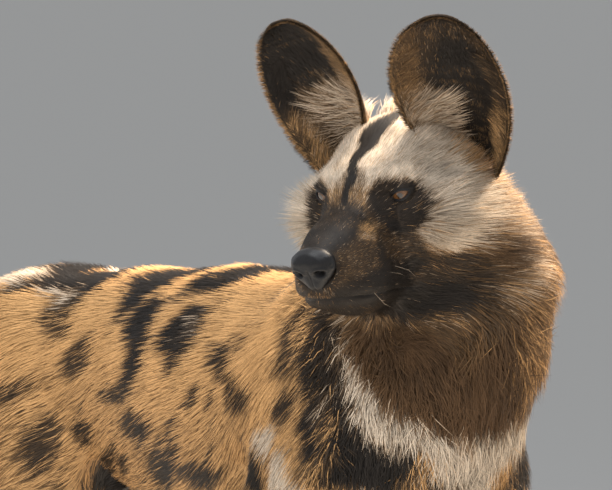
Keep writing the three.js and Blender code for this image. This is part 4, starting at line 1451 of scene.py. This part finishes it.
def coatMaterial(name, rootShade, variation, fineBump):
    material, tree, shader = newMaterial(name)
    painted = tree.nodes.new("ShaderNodeGroup")
    painted.node_tree = coatGroup
    for socket, attribute in (("Marks", "marks"), ("Strand", "strand")):
        node = tree.nodes.new("ShaderNodeAttribute")
        node.attribute_name = attribute
        tree.links.new(node.outputs["Color"], painted.inputs[socket])
    for colour in colourNames:
        painted.inputs[colour.title()].default_value = (*coatColours[colour], 1)
    painted.inputs["Root Shade"].default_value = rootShade
    painted.inputs["Variation"].default_value = variation
    place = tree.nodes.new("ShaderNodeTexCoord")
    speckle = tree.nodes.new("ShaderNodeTexNoise")
    speckle.inputs["Scale"].default_value = 420
    speckle.inputs["Detail"].default_value = 3
    tree.links.new(place.outputs["Object"], speckle.inputs["Vector"])
    light = mathNode(tree, "MULTIPLY_ADD", speckle.outputs[0], 0.5)
    light.node.inputs[2].default_value = 0.75
    coloured = tree.nodes.new("ShaderNodeVectorMath")
    coloured.operation = "SCALE"
    tree.links.new(painted.outputs["Color"], coloured.inputs[0])
    tree.links.new(light, coloured.inputs["Scale"])
    tree.links.new(coloured.outputs[0], shader.inputs["Base Color"])
    rough = mathNode(tree, "MULTIPLY_ADD", painted.outputs["Dark"], -0.16)
    rough.node.inputs[2].default_value = 0.62
    tree.links.new(rough, shader.inputs["Roughness"])
    if fineBump:
        bump = tree.nodes.new("ShaderNodeBump")
        bump.inputs["Strength"].default_value = 0.6
        bump.inputs["Distance"].default_value = fineBump * mm
        tree.links.new(speckle.outputs[0], bump.inputs["Height"])
        tree.links.new(bump.outputs[0], shader.inputs["Normal"])
    shader.inputs["Specular IOR Level"].default_value = 0.22
    return material


def leatherMaterial():
    # pebbled black skin of the nose pad and the lid rims
    material, tree, shader = newMaterial("nose leather")
    place = tree.nodes.new("ShaderNodeTexCoord")
    pebbles = tree.nodes.new("ShaderNodeTexVoronoi")
    pebbles.inputs["Scale"].default_value = 900
    tree.links.new(place.outputs["Object"], pebbles.inputs["Vector"])
    colour = mixColours(tree, pebbles.outputs["Distance"], (0.012, 0.011, 0.012), (0.005, 0.005, 0.005))
    tree.links.new(colour, shader.inputs["Base Color"])
    bump = tree.nodes.new("ShaderNodeBump")
    bump.inputs["Strength"].default_value = 0.5
    bump.inputs["Distance"].default_value = 0.25 * mm
    bump.invert = True
    tree.links.new(pebbles.outputs["Distance"], bump.inputs["Height"])
    tree.links.new(bump.outputs[0], shader.inputs["Normal"])
    shader.inputs["Roughness"].default_value = 0.42
    shader.inputs["Specular IOR Level"].default_value = 0.3
    shader.inputs["Coat Weight"].default_value = 0.12
    shader.inputs["Coat Roughness"].default_value = 0.25
    return material


def eyeMaterial():
    material, tree, shader = newMaterial("eye")
    away = tree.nodes.new("ShaderNodeAttribute")
    away.attribute_name = "lookAway"
    ramp = tree.nodes.new("ShaderNodeValToRGB")
    spread = mathNode(tree, "DIVIDE", away.outputs["Fac"], 10.0)
    tree.links.new(spread, ramp.inputs[0])
    stops = [
        (0.0, (0.004, 0.003, 0.003)), (0.17, (0.005, 0.004, 0.003)), (0.20, (0.05, 0.022, 0.008)),
        (0.42, (0.17, 0.075, 0.026)), (0.66, (0.13, 0.055, 0.018)), (0.76, (0.02, 0.010, 0.006)),
        (0.86, (0.16, 0.13, 0.11)),
    ]
    for k, (spot, colour) in enumerate(stops):
        stop = ramp.color_ramp.elements[k] if k < 2 else ramp.color_ramp.elements.new(spot)
        stop.position = spot
        stop.color = (*colour, 1)
    place = tree.nodes.new("ShaderNodeTexCoord")
    fibres = tree.nodes.new("ShaderNodeTexNoise")
    fibres.inputs["Scale"].default_value = 1500
    tree.links.new(place.outputs["Object"], fibres.inputs["Vector"])
    light = mathNode(tree, "MULTIPLY_ADD", fibres.outputs[0], 0.8)
    light.node.inputs[2].default_value = 0.6
    scaled = tree.nodes.new("ShaderNodeVectorMath")
    scaled.operation = "SCALE"
    tree.links.new(ramp.outputs[0], scaled.inputs[0])
    tree.links.new(light, scaled.inputs["Scale"])
    tree.links.new(scaled.outputs[0], shader.inputs["Base Color"])
    shader.inputs["Roughness"].default_value = 0.25
    shader.inputs["Coat Weight"].default_value = 1.0
    shader.inputs["Coat Roughness"].default_value = 0.03
    return material


def clawMaterial():
    material, tree, shader = newMaterial("claw horn")
    place = tree.nodes.new("ShaderNodeTexCoord")
    streak = tree.nodes.new("ShaderNodeTexNoise")
    streak.inputs["Scale"].default_value = 260
    tree.links.new(place.outputs["Object"], streak.inputs["Vector"])
    colour = mixColours(tree, streak.outputs[0], (0.035, 0.028, 0.022), (0.12, 0.095, 0.07))
    tree.links.new(colour, shader.inputs["Base Color"])
    shader.inputs["Roughness"].default_value = 0.38
    return material


furMaterial = coatMaterial("coat hair", 0.55, 0.75, 0)
for piece in coats:
    piece.data.materials.append(furMaterial)
skin.data.materials.clear()
skin.data.materials.append(coatMaterial("coat skin", 0.3, 0.5, 0.6))
leather = leatherMaterial()
for piece in (nosePad, lidRims):
    piece.data.materials.clear()
    piece.data.materials.append(leather)
eyes.data.materials.append(eyeMaterial())
clawPiece.data.materials.append(clawMaterial())

# Stage, light and camera
camera = {"azimuth": -32.0, "elevation": 3.0, "distance": 8.0, "aim": (0, -149, 708), "seenWidth": 0.502}
azimuth, elevation = math.radians(camera["azimuth"]), math.radians(camera["elevation"])
towards = Vector(
    (math.sin(azimuth) * math.cos(elevation), -math.cos(azimuth) * math.cos(elevation), math.sin(elevation))
)
aim = (Vector(camera["aim"]) + Vector(bodyOrigin)) * mm
cameraData = bpy.data.cameras.new("camera")
cameraData.sensor_width = 36
cameraData.sensor_fit = "HORIZONTAL"
cameraData.lens = cameraData.sensor_width * camera["distance"] / camera["seenWidth"]
cameraData.clip_end = 400
cameraObject = bpy.data.objects.new("camera", cameraData)
cameraObject.location = aim + towards * camera["distance"]
cameraObject.rotation_euler = towards.to_track_quat("Z", "Y").to_euler()
bpy.context.scene.collection.objects.link(cameraObject)
bpy.context.scene.camera = cameraObject

floorShape = bmesh.new()
bmesh.ops.create_grid(floorShape, x_segments=1, y_segments=1, size=300)
floor = newObject("floor", floorShape)
floorMaterial, _, floorShader = newMaterial("floor")
floorShader.inputs["Base Color"].default_value = (0.50, 0.49, 0.47, 1)
floorShader.inputs["Roughness"].default_value = 0.9
floor.data.materials.append(floorMaterial)

lights = [
    # name, azimuth, elevation, distance in metres, size in metres, power, colour
    ("fill", -66, 30, 3.2, 2.2, 80, (0.95, 0.97, 1.0)),
    ("sun behind", 108, 42, 3.2, 0.9, 440, (1.0, 0.84, 0.66)),
    ("sky", 10, 85, 3.2, 2.6, 70, (0.95, 0.97, 1.0)),
]
for name, around, above, distance, size, power, colour in lights:
    a, e = math.radians(around), math.radians(above)
    way = Vector((math.sin(a) * math.cos(e), -math.cos(a) * math.cos(e), math.sin(e)))
    lampData = bpy.data.lights.new(name, "AREA")
    lampData.size = size
    lampData.energy = power
    lampData.color = colour
    lamp = bpy.data.objects.new(name, lampData)
    lamp.location = aim + way * distance
    lamp.visible_glossy = name != "fill"  # it would hide the brown of the eyes
    lamp.rotation_euler = way.to_track_quat("Z", "Y").to_euler()
    bpy.context.scene.collection.objects.link(lamp)
world = bpy.data.worlds.new("soft sky")
world.use_nodes = True
world.node_tree.nodes["Background"].inputs["Color"].default_value = (0.93, 0.96, 1.0, 1)
world.node_tree.nodes["Background"].inputs["Strength"].default_value = 0.6
bpy.context.scene.world = world
bpy.context.scene.view_settings.view_transform = "Standard"
print("materials, lights and camera ready")
